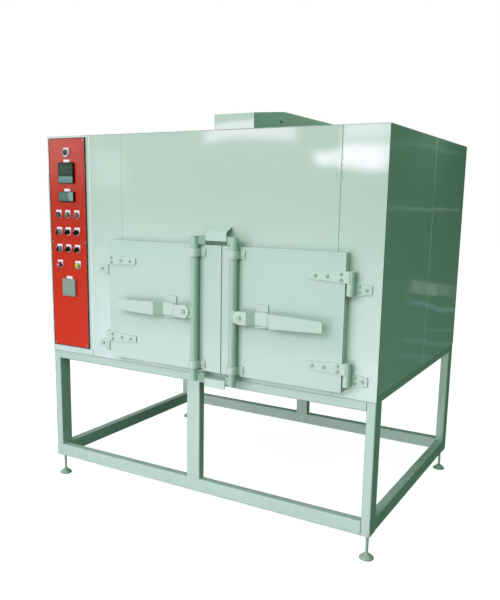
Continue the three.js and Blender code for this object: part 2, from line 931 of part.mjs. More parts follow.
function heaterBank() {
  const yBack = chamberBack - clearance;
  const yPlate = yBack - heater.plate;
  const gap = chamberCeiling - guideTop;
  const z = guideTop + gap * heater.liftShare;
  const gapCount = 2 * heater.hairpinCount - 1;
  const span = heater.pitch * gapCount + 2 * heater.margin;
  const left = fanX - span / 2;
  const plate = block(
    left, left + span, yPlate, yBack, chamberCeiling - gap * heater.plateShare, chamberCeiling - clearance,
  );
  const bendRadius = heater.pitch / 2;
  const bendY = yPlate - heater.length + bendRadius;
  const rods = [];
  for (let index = 0; index < heater.hairpinCount; index += 1) {
    const near = left + heater.margin + 2 * heater.pitch * index;
    for (const x of [near, near + heater.pitch]) {
      rods.push(studBack(x, z, heater.rodRadius, bendY, yBack - heater.plate / 2, rodSteps));
    }
    const turn = [];
    for (let step = 0; step <= rodSteps; step += 1) {
      const angle = Math.PI + Math.PI * step / rodSteps;
      turn.push(new THREE.Vector3(
        near + bendRadius + bendRadius * Math.cos(angle),
        bendY + clearance + bendRadius * Math.sin(angle),
        z,
      ));
    }
    const section = new THREE.Shape().absarc(0, 0, heater.rodRadius, 0, 2 * Math.PI);
    const path = new THREE.CatmullRomCurve3(turn);
    rods.push(
      new THREE.ExtrudeGeometry(
        section,
        { steps: rodSteps, curveSegments: rodSteps / 2, extrudePath: path },
      ),
    );
  }
  return join(plate, ...rods);
}

function doorSeal() {
  const inset = gasket.inset + gasket.width;
  const ring = runBack(
    outline(
      rectangle(linerLeft - inset, linerRight + inset, openingBottom - inset, openingTop + inset),
      gasket.width,
    ),
    -clearance - gasket.thick, -clearance,
  );
  const hole = runBack(
    outline(rectangle(
      linerLeft - gasket.inset,
      linerRight + gasket.inset,
      openingBottom - gasket.inset,
      openingTop + gasket.inset,
    ), gasket.width / 2),
    -overrun, overrun,
  );
  return cut(ring, hole);
}

function addChamber() {
  addPart('insulated_chamber', insulatedChamber(), 'steel');
  addPart('air_guide', airGuideSheet(), 'steel');
  addPart('shelf_lower', shelfGrid(airGuide.ledgeRiseShares[0]), 'steel');
  addPart('shelf_upper', shelfGrid(airGuide.ledgeRiseShares[1]), 'steel');
  addPart('fan_wheel', fanWheel(), 'steel');
  addPart('fan_motor', fanMotor(), 'iron');
  addPart('heater_bank', heaterBank(), 'steel');
  addPart('door_seal', doorSeal(), 'rubber');
}

// Lock bars. Reach is the distance from a bar's axis towards its hinge

const barY = -lockBar.proud;
const barX = {
  left: lockCentre - lockBar.spacing / 2,
  right: lockCentre + lockBar.spacing / 2,
};
const barTop = seam + lockBar.topAboveSeam;
const barBottom = seam - lockBar.bottomBelowSeam;
const lugFront = barY - lug.front;
const discBack = lugFront - clearance;

// Doors. Each is drawn from its hinge axis: reach is the distance towards the doors' middle

const hingeX = {
  left: doorEdges.left - hinge.axisOut,
  right: doorEdges.right + hinge.axisOut,
};
const hingeY = -hinge.axisProud;

function doorPan(side) {
  const outer = doorEdges[side.name];
  const meeting = meetingX + side.sign * door.meetingGap / 2;
  const pan = tray(
    Math.min(outer, meeting),
    Math.max(outer, meeting),
    doorFace,
    -door.backGap,
    doorBottom,
    doorTop,
    door.sheet,
  );
  return join(pan, ...leverRestPlates(side));
}

function leverRestPlates(side) {
  const x = (reach) => barX[side.name] + side.sign * reach;
  const start = x(leverPlan[side.name].plateStart);
  const end = x(leverPlan[side.name].plateEnd);
  const back = doorFace + door.sheet / 2;
  const front = doorFace - leverRest.plateThick;
  const ledgeTop = leverZ - lever.restHeight / 2 - clearance;
  const ledgeBase = ledgeTop - leverRest.ledgeThick;
  const plate = block(start, end, front, back, ledgeBase, leverZ + leverRest.plateRise);
  const ledge = block(start, end, front - leverRest.ledgeReach, back, ledgeBase, ledgeTop);
  return [plate, ledge];
}

function doorPlug(side) {
  const outer = doorEdges[side.name] - side.sign * (door.sheet + clearance);
  const meeting = meetingX + side.sign * (door.meetingGap / 2 + door.sheet + clearance);
  const inset = door.sheet + clearance;
  const packBack = -door.backGap - clearance;
  const pack = block(outer, meeting, doorFace + inset, packBack, doorBottom + inset, doorTop - inset);
  const jambX = side.sign < 0 ? linerLeft : linerRight;
  const noseOuter = jambX - side.sign * door.plugSideFit;
  const noseMeeting = meetingX + side.sign * (door.meetingGap / 2 + door.plugMeetingFit);
  const plan = outline([
    [noseOuter, packBack - overrun],
    [noseOuter, 0],
    [noseOuter - side.sign * door.plugTaper, door.plugReach],
    [noseMeeting + side.sign * door.plugTaper, door.plugReach],
    [noseMeeting, 0],
    [noseMeeting, packBack - overrun],
  ]);
  const nose = raise(plan, openingBottom + door.plugEndFit, openingTop - door.plugEndFit);
  return join(pack, nose);
}

function hingeStrap(side, splitZ) {
  const inward = -side.sign;
  const x = (reach) => hingeX[side.name] + inward * reach;
  const top = splitZ + hinge.knuckleHeight;
  const back = doorFace - clearance;
  const middle = (splitZ + top) / 2;
  const face = outline([
    [x(0), splitZ],
    [x(0), top],
    [x(hinge.strapStraight), top],
    [x(hinge.strapLength), middle + hinge.strapEndHeight / 2],
    [x(hinge.strapLength), middle - hinge.strapEndHeight / 2],
    [x(hinge.strapStraight), splitZ],
  ], tube.corner / 2);
  const strap = runBack(face, back - hinge.strapThick, back);
  const knuckle = post(x(0), hingeY, hinge.knuckleRadius, splitZ, top, smallSteps * 2);
  const bore = post(
    x(0),
    hingeY,
    hinge.pinRadius + hinge.pinSlack,
    splitZ - overrun,
    splitZ + hinge.pinReach + overrun / 2,
    smallSteps,
  );
  const heads = strapBoltShares.map((share) => studBack(
    x(hinge.strapLength * share.along), splitZ + hinge.knuckleHeight * share.up,
    boltHead.radius * boltHead.domeShare,
    back - hinge.strapThick - boltHead.height,
    back - hinge.strapThick / 2,
    boltSteps,
    boltHead.radius,
  ));
  return cut(join(strap, knuckle, ...heads), bore);
}

function hingeLeaf(side, splitZ) {
  const outward = side.sign;
  const x = (reach) => hingeX[side.name] + outward * reach;
  const top = splitZ - clearance;
  const bottom = top - hinge.lowerKnuckleHeight;
  const middle = (top + bottom) / 2;
  const back = -clearance;
  const front = back - hinge.leafThick;
  const plate = runBack(outline([
    [x(hinge.webStart), bottom],
    [x(hinge.webStart), top],
    [x(hinge.webEnd), top],
    [x(hinge.leafReach), middle + hinge.leafEndHeight / 2],
    [x(hinge.leafReach), middle - hinge.leafEndHeight / 2],
    [x(hinge.webEnd), bottom],
  ], tube.corner / 2), front, back);
  const web = raise(outline([
    [x(hinge.webStart), front + hinge.leafThick / 2],
    [x(0), hingeY],
    [x(hinge.webEnd / 2), hingeY],
    [x(hinge.webEnd), front + hinge.leafThick / 2],
  ]), bottom, top);
  const knuckle = post(x(0), hingeY, hinge.knuckleRadius, bottom, top, roundSteps);
  const pin = post(x(0), hingeY, hinge.pinRadius, top - overrun, splitZ + hinge.pinReach, smallSteps);
  const heads = leafBoltShares.map((share) => studBack(
    x(hinge.leafReach * share.along), bottom + hinge.lowerKnuckleHeight * share.up,
    boltHead.radius * boltHead.domeShare,
    front - boltHead.height,
    front + hinge.leafThick / 2,
    boltSteps,
    boltHead.radius,
  ));
  return join(plate, web, knuckle, pin, ...heads);
}

function addDoors() {
  const splits = [
    { name: 'lower', z: seam + hinge.splitLow },
    { name: 'upper', z: seam + hinge.splitHigh },
  ];
  for (const side of sides) {
    addPart(`door_${side.name}`, doorPan(side), 'mint');
    addPart(`door_plug_${side.name}`, doorPlug(side), 'steel');
    for (const split of splits) {
      addPart(`hinge_strap_${side.name}_${split.name}`, hingeStrap(side, split.z), 'mint');
      addPart(`hinge_leaf_${side.name}_${split.name}`, hingeLeaf(side, split.z), 'mint');
    }
  }
}

// Lock bars, levers, guides and keepers

function lockingBar(side) {
  const x = (reach) => barX[side.name] + side.sign * reach;
  const rod = post(x(0), barY, lockBar.radius, barBottom, barTop, roundSteps);
  const camPlan = outline([
    [x(0), barY + cam.thick],
    [x(-camReach + cam.noseWidth), barY + cam.back],
    [x(-camReach), barY + cam.back],
    [x(-camReach), barY + cam.back - cam.noseWidth],
    [x(-lockBar.radius), barY],
    [x(0), barY],
  ], cam.noseWidth / 4);
  const topCam = raise(camPlan, barTop - cam.height, barTop);
  const bottomCam = raise(camPlan, barBottom, barBottom + cam.height);
  const pivotX = x(leverPlan[side.name].pivot);
  const lugBack = lugFront + lug.thick;
  const lugDisc = studBack(pivotX, leverZ, lug.radius, lugFront, lugBack, roundSteps);
  const lugWeb = block(x(0), pivotX, lugFront, lugBack, leverZ - lug.radius, leverZ + lug.radius);
  const headBack = discBack - lever.thick - clearance;
  const headFront = headBack - pivot.headHeight;
  const shankFront = headBack - pivot.headHeight / 2;
  const shank = studBack(
    pivotX,
    leverZ,
    pivot.boltRadius,
    shankFront,
    lugFront + lug.thick / 2,
    smallSteps,
  );
  const head = studBack(pivotX, leverZ, pivot.headRadius, headFront, headBack, boltSteps);
  return join(rod, topCam, bottomCam, lugDisc, lugWeb, shank, head);
}

function lockLever(side) {
  const x = (reach) => barX[side.name] + side.sign * reach;
  const half = lever.thick / 2;
  const hubY = discBack - half;
  const restY = -lever.restProud;
  const bladeY = -lever.bladeProud;
  const plan = leverPlan[side.name];
  const joggleStart = plan.joggleEnd - lever.joggleRun;
  const bladeEnd = Math.abs(doorEdges[side.name] - barX[side.name]) - plan.edgeGap;
  const route = [
    [plan.pivot - lever.hubRadius, hubY],
    [joggleStart, hubY],
    [plan.joggleEnd, restY],
    [plan.restEnd, restY],
    [plan.bladeStart, bladeY],
    [bladeEnd, bladeY],
  ];
  const near = route.map(([reach, y]) => [x(reach), y - half]);
  const far = route.map(([reach, y]) => [x(reach), y + half]).reverse();
  const tall = lever.bladeHeight;
  const strip = raise(outline([...near, ...far]), leverZ - tall, leverZ + tall);
  const flank = (sign) => [
    [x(joggleStart), leverZ + sign * lever.hubWidth / 2],
    [x(plan.joggleEnd), leverZ + sign * lever.hubWidth / 2],
    [x(plan.restEnd), leverZ + sign * lever.restHeight / 2],
    [x(plan.bladeStart), leverZ + sign * lever.bladeHeight / 2],
    [x(bladeEnd), leverZ + sign * lever.tipHeight / 2],
  ];
  const hub = [];
  for (let step = 0; step <= smallSteps; step += 1) {
    const turn = Math.PI / 2 + Math.PI * step / smallSteps;
    hub.push([
      x(plan.pivot + lever.hubRadius * Math.cos(turn)),
      leverZ + lever.hubRadius * Math.sin(turn),
    ]);
  }
  const front = outline([...flank(-1), ...flank(1).reverse(), ...hub], lever.tipRound);
  const mask = runBack(front, -lever.bladeProud - lever.thick * 3, doorFace);
  const hole = studBack(
    x(plan.pivot), leverZ, pivot.boltRadius + pivot.slack,
    discBack - lever.thick - overrun, discBack + overrun, smallSteps,
  );
  return cut(keepCommon(strip, mask), hole);
}

function barGuide(side, base) {
  const x = (reach) => barX[side.name] + side.sign * reach;
  const back = doorFace - clearance;
  const top = base + guide.height;
  const inner = lockBar.radius + guide.slack;
  const outer = inner + guide.thick;
  const flanges = block(x(-guide.flangeReach), x(guide.flangeReach), back - guide.thick, back, base, top);
  const cheeks = block(x(-outer), x(outer), barY, back - guide.thick / 2, base, top);
  const crown = post(x(0), barY, outer, base, top);
  const round = post(x(0), barY, inner, base - overrun, top + overrun);
  const throat = block(x(-inner), x(inner), barY, back + overrun, base - overrun, top + overrun);
  const heads = [-1, 1].map((sign) => studBack(
    x(sign * guide.boltReach), base + guide.height / 2,
    boltHead.radius * boltHead.domeShare,
    back - guide.thick - boltHead.height,
    back - guide.thick / 2,
    boltSteps,
    boltHead.radius,
  ));
  return cut(join(flanges, cheeks, crown, ...heads), round, throat);
}

function keeperPlate(topZ, drop, backY) {
  const lipTop = topZ - drop;
  const lipBottom = lipTop - keeper.lipHeight;
  const front = -keeper.reach;
  const t = keeper.thick;
  const profile = outline([
    [backY, topZ],
    [backY, topZ - keeper.backHeight],
    [backY - t, topZ - keeper.backHeight],
    [backY - t, topZ - t],
    [front + t, lipTop - t],
    [front + t, lipBottom],
    [front, lipBottom],
    [front, lipTop],
  ]);
  return runAcross(profile, lockCentre - keeper.width / 2, lockCentre + keeper.width / 2);
}

function addLocks() {
  for (const side of sides) {
    addPart(`lock_bar_${side.name}`, lockingBar(side), 'mint');
    addPart(`lock_lever_${side.name}`, lockLever(side), 'mint');
    addPart(`bar_guide_${side.name}_lower`, barGuide(side, seam + guide.lowAboveSeam), 'mint');
    addPart(`bar_guide_${side.name}_upper`, barGuide(side, seam + guide.highAboveSeam), 'mint');
  }
  addPart('keeper_upper', keeperPlate(seam + keeper.upperRise, keeper.upperDrop, -clearance), 'mint');
  addPart(
    'keeper_lower',
    keeperPlate(seam - clearance, keeper.lowerDrop, stand.skinSetback - clearance),
    'mint',
  );
}

// Control panel and its devices

const panelX = (panelLeft + panelRight) / 2;
const panelFace = -controlPanel.proud;
const panelSeat = panelFace + controlPanel.sheet / 2;
const legendFront = panelFace - legend.thick;
const collarFront = -device.collarFront;
const leftColumn = panelX - device.pitchX;
const rightColumn = panelX + device.pitchX;
const columns = [leftColumn, panelX, rightColumn];
const selectorPlaces = [
  ...columns.map((x) => ({ x, z: seam + deviceRowsAboveSeam.upperSelectors })),
  ...columns.map((x) => ({ x, z: seam + deviceRowsAboveSeam.lowerSelectors })),
];
const lampPlaces = columns.map((x) => ({ x, z: seam + deviceRowsAboveSeam.lamps }));
const buttonPlaces = [leftColumn, rightColumn].map((x) => ({ x, z: seam + deviceRowsAboveSeam.buttons }));
const mainSwitchPlace = { x: panelX, z: seam + panelItemsAboveSeam.mainSwitch };
const movingPlaces = [...selectorPlaces, ...buttonPlaces];
const meters = [
  { name: 'temperature_controller', height: meter.longSide, z: seam + panelItemsAboveSeam.controller },
  { name: 'process_timer', height: meter.shortSide, z: seam + panelItemsAboveSeam.timer },
];

// A legend plate has square corners above its device and a round rim below

function legendPlate(x, z) {
  const half = legend.width / 2;
  const face = [[x + half, z + legend.rise], [x - half, z + legend.rise]];
  for (let step = 0; step <= legend.rimSteps; step += 1) {
    const turn = Math.PI * step / legend.rimSteps;
    face.push([x - half * Math.cos(turn), z - half * Math.sin(turn)]);
  }
  return runBack(outline(face), legendFront, panelSeat);
}

function stripPlate(z) {
  const face = rectangle(
    panelX - strip.width / 2, panelX + strip.width / 2, z - strip.height / 2, z + strip.height / 2,
  );
  return runBack(outline(face), legendFront, panelSeat);
}

function lampBody({ x, z }) {
  const shoulder = collarFront - (lamp.front - device.collarFront) * (1 - lamp.domeShare);
  const body = studBack(x, z, device.radius, shoulder, device.behind, smallSteps);
  const dome = studBack(
    x,
    z,
    device.radius,
    -lamp.front,
    shoulder,
    smallSteps,
    device.radius * lamp.domeShare,
  );
  return join(body, dome);
}

function controlPanelTray() {
  const body = tray(
    panelLeft, panelRight, panelFace, panelFace + controlPanel.sheet + controlPanel.returnDepth,
    panelBottom, panelTop, controlPanel.sheet,
  );
  const plates = [...lampPlaces, ...movingPlaces].map(({ x, z }) => legendPlate(x, z));
  const collars = [...lampPlaces, ...movingPlaces].map(({ x, z }) => (
    studBack(x, z, device.collarRadius, collarFront, panelSeat, footSteps)
  ));
  const escutcheon = studBack(
    mainSwitchPlace.x,
    mainSwitchPlace.z,
    mainSwitch.escutcheonRadius,
    collarFront,
    panelSeat,
  );
  const strips = stripsAboveSeam.map((height) => stripPlate(seam + height));
  const holes = [...movingPlaces, mainSwitchPlace].map(({ x, z }) => studBack(
    x, z, device.hole, collarFront - overrun, panelFace + controlPanel.sheet + overrun, smallSteps,
  ));
  const windows = meters.map(({ height, z }) => {
    const halfX = meter.longSide / 2 - meter.bodyFit + clearance;
    const halfZ = height / 2 - meter.bodyFit + clearance;
    return block(
      panelX - halfX,
      panelX + halfX,
      panelFace - overrun,
      panelFace + controlPanel.sheet + overrun,
      z - halfZ,
      z + halfZ,
    );
  });
  const plate = cut(join(body, ...plates, ...collars, escutcheon, ...strips), ...holes, ...windows);
  return join(plate, ...lampPlaces.map(lampBody));
}

function meterCase(height, z) {
  const halfX = meter.longSide / 2;
  const halfZ = height / 2;
  const back = panelFace - clearance;
  const bezelFace = outline(rectangle(panelX - halfX, panelX + halfX, z - halfZ, z + halfZ), meter.corner);
  const bezel = runBack(bezelFace, panelFace - meter.proud, back);
  const inset = meter.border;
  const pocketFace = outline(
    rectangle(panelX - halfX + inset, panelX + halfX - inset, z - halfZ + inset, z + halfZ - inset),
    meter.corner,
  );
  const pocket = runBack(
    pocketFace,
    panelFace - meter.proud - overrun,
    panelFace - meter.proud + meter.recess,
  );
  const bodyX = halfX - meter.bodyFit;
  const bodyZ = halfZ - meter.bodyFit;
  const body = block(panelX - bodyX, panelX + bodyX, back - overrun, meter.bodyDepth, z - bodyZ, z + bodyZ);
  return join(cut(bezel, pocket), body);
}

function selector(x, z, gripLength, front) {
  const base = studBack(x, z, device.radius, -grip.baseFront, device.behind, smallSteps);
  const halfWide = grip.width / 2;
  const halfLong = gripLength / 2;
  const bar = runBack(
    outline(rectangle(x - halfWide, x + halfWide, z - halfLong, z + halfLong), halfWide / 2),
    -front, -grip.baseFront + clearance,
  );
  return join(base, bar);
}

function switchCover() {
  const z = seam + cover.centreAboveSeam;
  const face = (inset) => outline(rectangle(
    panelX - cover.width / 2 + inset, panelX + cover.width / 2 - inset,
    z - cover.height / 2 + inset, z + cover.height / 2 - inset,
  ), cover.corner);
  const shell = runBack(face(0), panelFace - cover.proud, panelFace - clearance);
  const hollow = runBack(face(cover.wall), panelFace - cover.proud + cover.wall, panelFace + overrun);
  return cut(shell, hollow);
}

function addControls() {
  addPart('control_panel', controlPanelTray(), 'red');
  for (const { name, height, z } of meters) {
    addPart(name, meterCase(height, z), 'black');
  }
  addPart('switch_cover', switchCover(), 'grey');
  addPart(
    'main_switch',
    selector(mainSwitchPlace.x, mainSwitchPlace.z, mainSwitch.gripLength, mainSwitch.front),
    'grey',
  );
  selectorPlaces.forEach(({ x, z }, index) => {
    addPart(`selector_${index + 1}`, selector(x, z, grip.length, grip.front), 'black');
  });
  const buttonFinishes = ['magenta', 'green'];
  buttonPlaces.forEach(({ x, z }, index) => {
    const button = studBack(x, z, device.radius, -pushButton.front, device.behind, smallSteps);
    addPart(`push_button_${index + 1}`, button, buttonFinishes[index]);
  });
}

addStand();
addCabinet();
addChamber();
addDoors();
addLocks();
addControls();

// Move the origin under the middle of the outer box

const outerBox = new THREE.Box3().setFromObject(oven);
oven.position.set(
  -(outerBox.min.x + outerBox.max.x) / 2, -(outerBox.min.y + outerBox.max.y) / 2, -outerBox.min.z,
);

export default oven;
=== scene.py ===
"""The drying oven's looks: finishes, small fittings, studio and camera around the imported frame."""

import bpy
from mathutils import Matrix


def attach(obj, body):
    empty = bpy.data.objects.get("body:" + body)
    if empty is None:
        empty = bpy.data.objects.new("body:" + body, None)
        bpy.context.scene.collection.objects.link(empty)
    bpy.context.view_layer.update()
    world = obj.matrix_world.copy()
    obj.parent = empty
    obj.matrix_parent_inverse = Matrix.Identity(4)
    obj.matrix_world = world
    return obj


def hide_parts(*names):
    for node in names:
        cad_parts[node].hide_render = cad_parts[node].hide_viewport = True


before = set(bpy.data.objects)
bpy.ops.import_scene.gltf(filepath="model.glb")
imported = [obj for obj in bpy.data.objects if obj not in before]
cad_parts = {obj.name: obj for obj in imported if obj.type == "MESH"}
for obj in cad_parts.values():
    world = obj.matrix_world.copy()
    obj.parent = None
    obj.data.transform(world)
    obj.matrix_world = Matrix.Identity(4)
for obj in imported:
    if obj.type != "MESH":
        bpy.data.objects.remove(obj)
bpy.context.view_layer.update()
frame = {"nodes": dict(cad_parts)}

import fnmatch
import functools
import logging
import math
from dataclasses import dataclass, field
from enum import Enum
from typing import ClassVar, Optional, Sequence, Union

import bmesh
import bpy
from mathutils import Matrix, Vector

log = logging.getLogger("drying_oven")

MM = 0.001
FRONT_SKIN_Y = -0.5662  # the front skin in the row frame; the drawing has it at y = 0
WORN_EDGE = 0.0018  # reach of the worn paint from an edge, in metres
SMOOTH_BELOW = math.radians(32)
ROUND_ABOVE = math.radians(38)

OUT_FRONT = Vector((0, -1, 0))
OUT_BACK = Vector((0, 1, 0))
OUT_RIGHT = Vector((1, 0, 0))
OUT_LEFT = Vector((-1, 0, 0))
OUT_UP = Vector((0, 0, 1))

Point = tuple[float, float, float]
Shade = tuple[float, float, float]
Pair = tuple[float, float]
Mesh = bmesh.types.BMesh
Profile = Sequence[Pair]  # radius and way out along the axis, in millimetres


def at(x: float, y: float, z: float) -> Vector:
    """A place given in drawing millimetres, as metres in the row frame."""
    return Vector((x * MM, y * MM + FRONT_SKIN_Y, z * MM))


def shade(code: str) -> Shade:
    """Turn a screen colour of six hexadecimal digits into linear light."""
    parts = [int(code[i:i + 2], 16) / 255 for i in (0, 2, 4)]
    return tuple(p / 12.92 if p <= 0.04045 else ((p + 0.055) / 1.055) ** 2.4 for p in parts)


def scaled(tone: Shade, times: float, lift: float = 0.0) -> Shade:
    """A darker or lighter tone, with no part above 1."""
    return tuple(min(1.0, part * times + lift) for part in tone)


# ---- shader arithmetic


class Wire:
    """One output of a shader node, which takes part in Python arithmetic."""

    def __init__(self, bench: "Bench", socket: bpy.types.NodeSocket) -> None:
        """Hold the socket and the bench whose tree it belongs to."""
        self.bench = bench
        self.socket = socket

    def __add__(self, other: "Term") -> "Wire":
        """self + other."""
        return self.bench.join("ADD", self, other)

    def __radd__(self, other: "Term") -> "Wire":
        """other + self."""
        return self.bench.join("ADD", other, self)

    def __sub__(self, other: "Term") -> "Wire":
        """self - other."""
        return self.bench.join("SUBTRACT", self, other)

    def __rsub__(self, other: "Term") -> "Wire":
        """other - self."""
        return self.bench.join("SUBTRACT", other, self)

    def __mul__(self, other: "Term") -> "Wire":
        """self * other."""
        return self.bench.join("MULTIPLY", self, other)

    def __rmul__(self, other: "Term") -> "Wire":
        """other * self."""
        return self.bench.join("MULTIPLY", other, self)


Term = Union[Wire, float, Sequence[float]]
Sockets = dict[str, Term]


def triple(term: Term) -> Term:
    """A plain number as three equal parts, and anything else as it is."""
    return (term,) * 3 if isinstance(term, (int, float)) else term


class Bench:
    """Builds the nodes of one material or world."""

    def __init__(self, owner: Union[bpy.types.Material, bpy.types.World]) -> None:
        """Start an empty node tree in its owner."""
        owner.use_nodes = True
        self.owner = owner
        self.tree = owner.node_tree
        self.tree.nodes.clear()

    def node(
        self, kind: str, settings: Optional[dict] = None, inputs: Optional[dict] = None,
        output: Union[str, int] = 0,
    ) -> Optional[Wire]:
        """Add any node.

        Args:
            kind: The node's type, after ShaderNode.
            settings: Its properties, which are set first.
            inputs: Values or wires by socket name or number.
            output: The output that is wanted.

        Returns:
            That output, or None where the node has none.
        """
        made = self.tree.nodes.new("ShaderNode" + kind)
        for key, value in (settings or {}).items():
            setattr(made, key, value)
        for key, value in (inputs or {}).items():
            socket = made.inputs[key]
            if isinstance(value, Wire):
                self.tree.links.new(value.socket, socket)
            else:
                socket.default_value = (*value, 1.0) if socket.type == "RGBA" else value
        return Wire(self, made.outputs[output]) if made.outputs else None

    def join(self, operation: str, first: Term, second: Term) -> Wire:
        """Add the node that works out one operation: on colours, on vectors or on numbers.

        Args:
            operation: What the node works out.
            first: The left term.
            second: The right term.

        Returns:
            The result.
        """
        kinds = {term.socket.type for term in (first, second) if isinstance(term, Wire)}
        if "RGBA" in kinds:
            return self.mix(operation, 1.0, first, second)
        if "VECTOR" in kinds:
            pair = {0: triple(first), 1: triple(second)}
            return self.node("VectorMath", {"operation": operation}, pair)
        return self.node("Math", {"operation": operation}, {0: first, 1: second})

    def mix(self, blend: str, factor: Term, first: Term, second: Term) -> Wire:
        """A Mix node on two colours."""
        pair = {"Factor": factor, 6: triple(first), 7: triple(second)}
        return self.node("Mix", {"data_type": "RGBA", "blend_type": blend}, pair, 2)

    def between(self, first: Term, second: Term, factor: Term) -> Wire:
        """The colour that lies between two others."""
        return self.mix("MIX", factor, first, second)

    def place(self) -> Wire:
        """The point on the surface, in metres; every piece's origin is the row frame's."""
        return self.node("TexCoord", output="Object")

    def normal(self) -> Wire:
        """The way that the surface faces."""
        return self.node("NewGeometry", output="Normal")

    def parts(self, vector: Wire) -> list[Wire]:
        """A vector's x, y and z."""
        split = self.node("SeparateXYZ", inputs={0: vector}).socket.node
        return [Wire(self, output) for output in split.outputs]

    def noise(
        self, where: Wire, scale: float, detail: float, stretch: Optional[Point] = None,
    ) -> Wire:
        """Noise from 0 to 1, with its waves in a metre, its finer layers and its stretch."""
        point = where * stretch if stretch else where
        return self.node("TexNoise", inputs={"Vector": point, "Scale": scale, "Detail": detail})

    def cells(self, where: Wire, scale: float) -> Wire:
        """Distance from the middle of scattered cells."""
        return self.node("TexVoronoi", inputs={"Vector": where, "Scale": scale})

    def step(self, value: Wire, low: float, high: float) -> Wire:
        """A smooth rise from 0 at low to 1 at high; a fall where high is the smaller."""
        inputs = {"Value": value, "From Min": low, "From Max": high}
        return self.node("MapRange", {"interpolation_type": "SMOOTHSTEP"}, inputs)

    def upward(self) -> Wire:
        """How far the surface faces up, from 0 to 1."""
        return self.step(self.parts(self.normal())[2], 0.3, 1.0)

    def edges(self) -> Wire:
        """1 on the edges of a shape and 0 on its faces."""
        pair = {0: self.node("Bevel", {"samples": 4}, {"Radius": WORN_EDGE}), 1: self.normal()}
        dot = self.node("VectorMath", {"operation": "DOT_PRODUCT"}, pair, "Value")
        return self.step(dot, 0.985, 0.86)

    def bump(self, height: Wire, strength: float, distance: float, **under: Wire) -> Wire:
        """The normal of a bumpy surface, laid over another where Normal is given."""
        inputs = {"Height": height, "Strength": strength, "Distance": distance, **under}
        return self.node("Bump", inputs=inputs)

    def finish(self, inputs: Sockets) -> bpy.types.Material:
        """Close the material with a Principled shader that has these inputs."""
        self.node("OutputMaterial", inputs={"Surface": self.node("BsdfPrincipled", None, inputs)})
        return self.owner


# ---- finishes


@dataclass(frozen=True)
class Look:
    """A finish: its name, its main colour, and how it becomes a material."""

    name: str
    tone: str

    def build(self) -> bpy.types.Material:
        """Make the material."""
        bench = Bench(bpy.data.materials.new(self.name))
        return bench.finish(self.sockets(bench, bench.place(), shade(self.tone)))

    def sockets(self, b: Bench, where: Wire, tone: Shade) -> Sockets:
        """Work out what the shader's sockets get.

        Args:
            b: The material's bench.
            where: The point on the surface.
            tone: The main colour.

        Returns:
            Values and wires by socket name.
        """
        raise NotImplementedError


@dataclass(frozen=True)
class Enamel(Look):
    """Sprayed gloss enamel on sheet and tube."""

    gloss: float = 0.16
    wear: float = 0.0
    grime: float = 0.35
    sheet_wave: float = 0.0
    shine: float = 0.5
    # painted light: a tone the paint turns to towards the bottom, lighter as if lit from the floor
    painted_light_low_tone: Optional[str] = None

    def sockets(self, b: Bench, where: Wire, tone: Shade) -> Sockets:
        """Clouded paint, peel, sheet waves, dust, floor grime, worn edges, and painted light that
        makes the lower part lighter.
        """
        height = b.parts(where)[2]
        cloud = b.noise(where, 1.7, 3)
        mottle = b.noise(where, 38, 4)
        base = b.between(scaled(tone, 0.93), scaled(tone, 1.05), cloud * 0.7 + mottle * 0.3)
        # Painted light: the paint turns to the lower tone from 1.5 m down to 0.75 m, lighter at the
        # bottom as if lit from the floor.
        if self.painted_light_low_tone:
            base = b.between(base, shade(self.painted_light_low_tone), b.step(height, 1.5, 0.75) * 0.95)
        dust = b.upward() * b.step(b.noise(where, 9, 5), 0.42, 0.75)
        base = b.between(base, shade("c9cabd"), dust * 0.28)
        low = b.step(height, 0.42, 0.02) * b.step(b.noise(where, 26, 5), 0.4, 0.72)
        base = b.between(base, shade("6d6a54"), low * self.grime)
        rough = self.gloss + 0.5 * self.gloss * mottle + dust * 0.25 + low * 0.25
        if self.wear:
            chipped = b.edges() * b.step(b.noise(where, 150, 5), 0.56, 0.66)
            base = b.between(base, shade("7c7f78"), chipped * self.wear)
            rough = rough + chipped * 0.2
        waves = b.noise(where, 2.6, 1, (1.0, 1.0, 0.55))
        peel = b.noise(where, 620, 2)
        under = b.bump(waves, 0.16 * self.sheet_wave, 0.03)
        normal = b.bump(peel, 0.035, 0.0006, Normal=under)
        return {
            "Base Color": base, "Roughness": rough, "Normal": normal,
            "Specular IOR Level": self.shine,
        }


@dataclass(frozen=True)
class Metal(Look):
    """Bare or plated metal, drawn or cast."""

    roughness: float = 0.32
    grain: Point = (60.0, 60.0, 1500.0)
    tarnish: float = 0.25

    def sockets(self, b: Bench, where: Wire, tone: Shade) -> Sockets:
        """A drawn grain, dull patches and fine scratches."""
        grain = b.noise(where, 1.0, 3, self.grain)
        dull = b.step(b.noise(where, 14, 5), 0.45, 0.7)
        base = b.between(tone, scaled(tone, 0.62), dull * self.tarnish + grain * 0.2)
        rough = self.roughness + 0.12 * grain + dull * 0.12
        normal = b.bump(grain, 0.09, 0.0004)
        return {"Base Color": base, "Metallic": 0.95, "Roughness": rough, "Normal": normal}


@dataclass(frozen=True)
class Plastic(Look):
    """Moulded plastic with a fine spark-eroded texture."""

    roughness: float = 0.38
    texture: float = 0.06
    shine: float = 0.5

    def sockets(self, b: Bench, where: Wire, tone: Shade) -> Sockets:
        """Even colour with handling marks and a fine pebble."""
        marks = b.noise(where, 55, 5)
        base = b.between(tone, scaled(tone, 1.12, 0.004), b.step(marks, 0.35, 0.7))
        pebble = b.cells(where, 2600)
        rough = self.roughness + 0.14 * marks
        normal = b.bump(pebble, self.texture, 0.0002)
        return {
            "Base Color": base, "Roughness": rough, "Normal": normal,
            "Specular IOR Level": self.shine,
        }


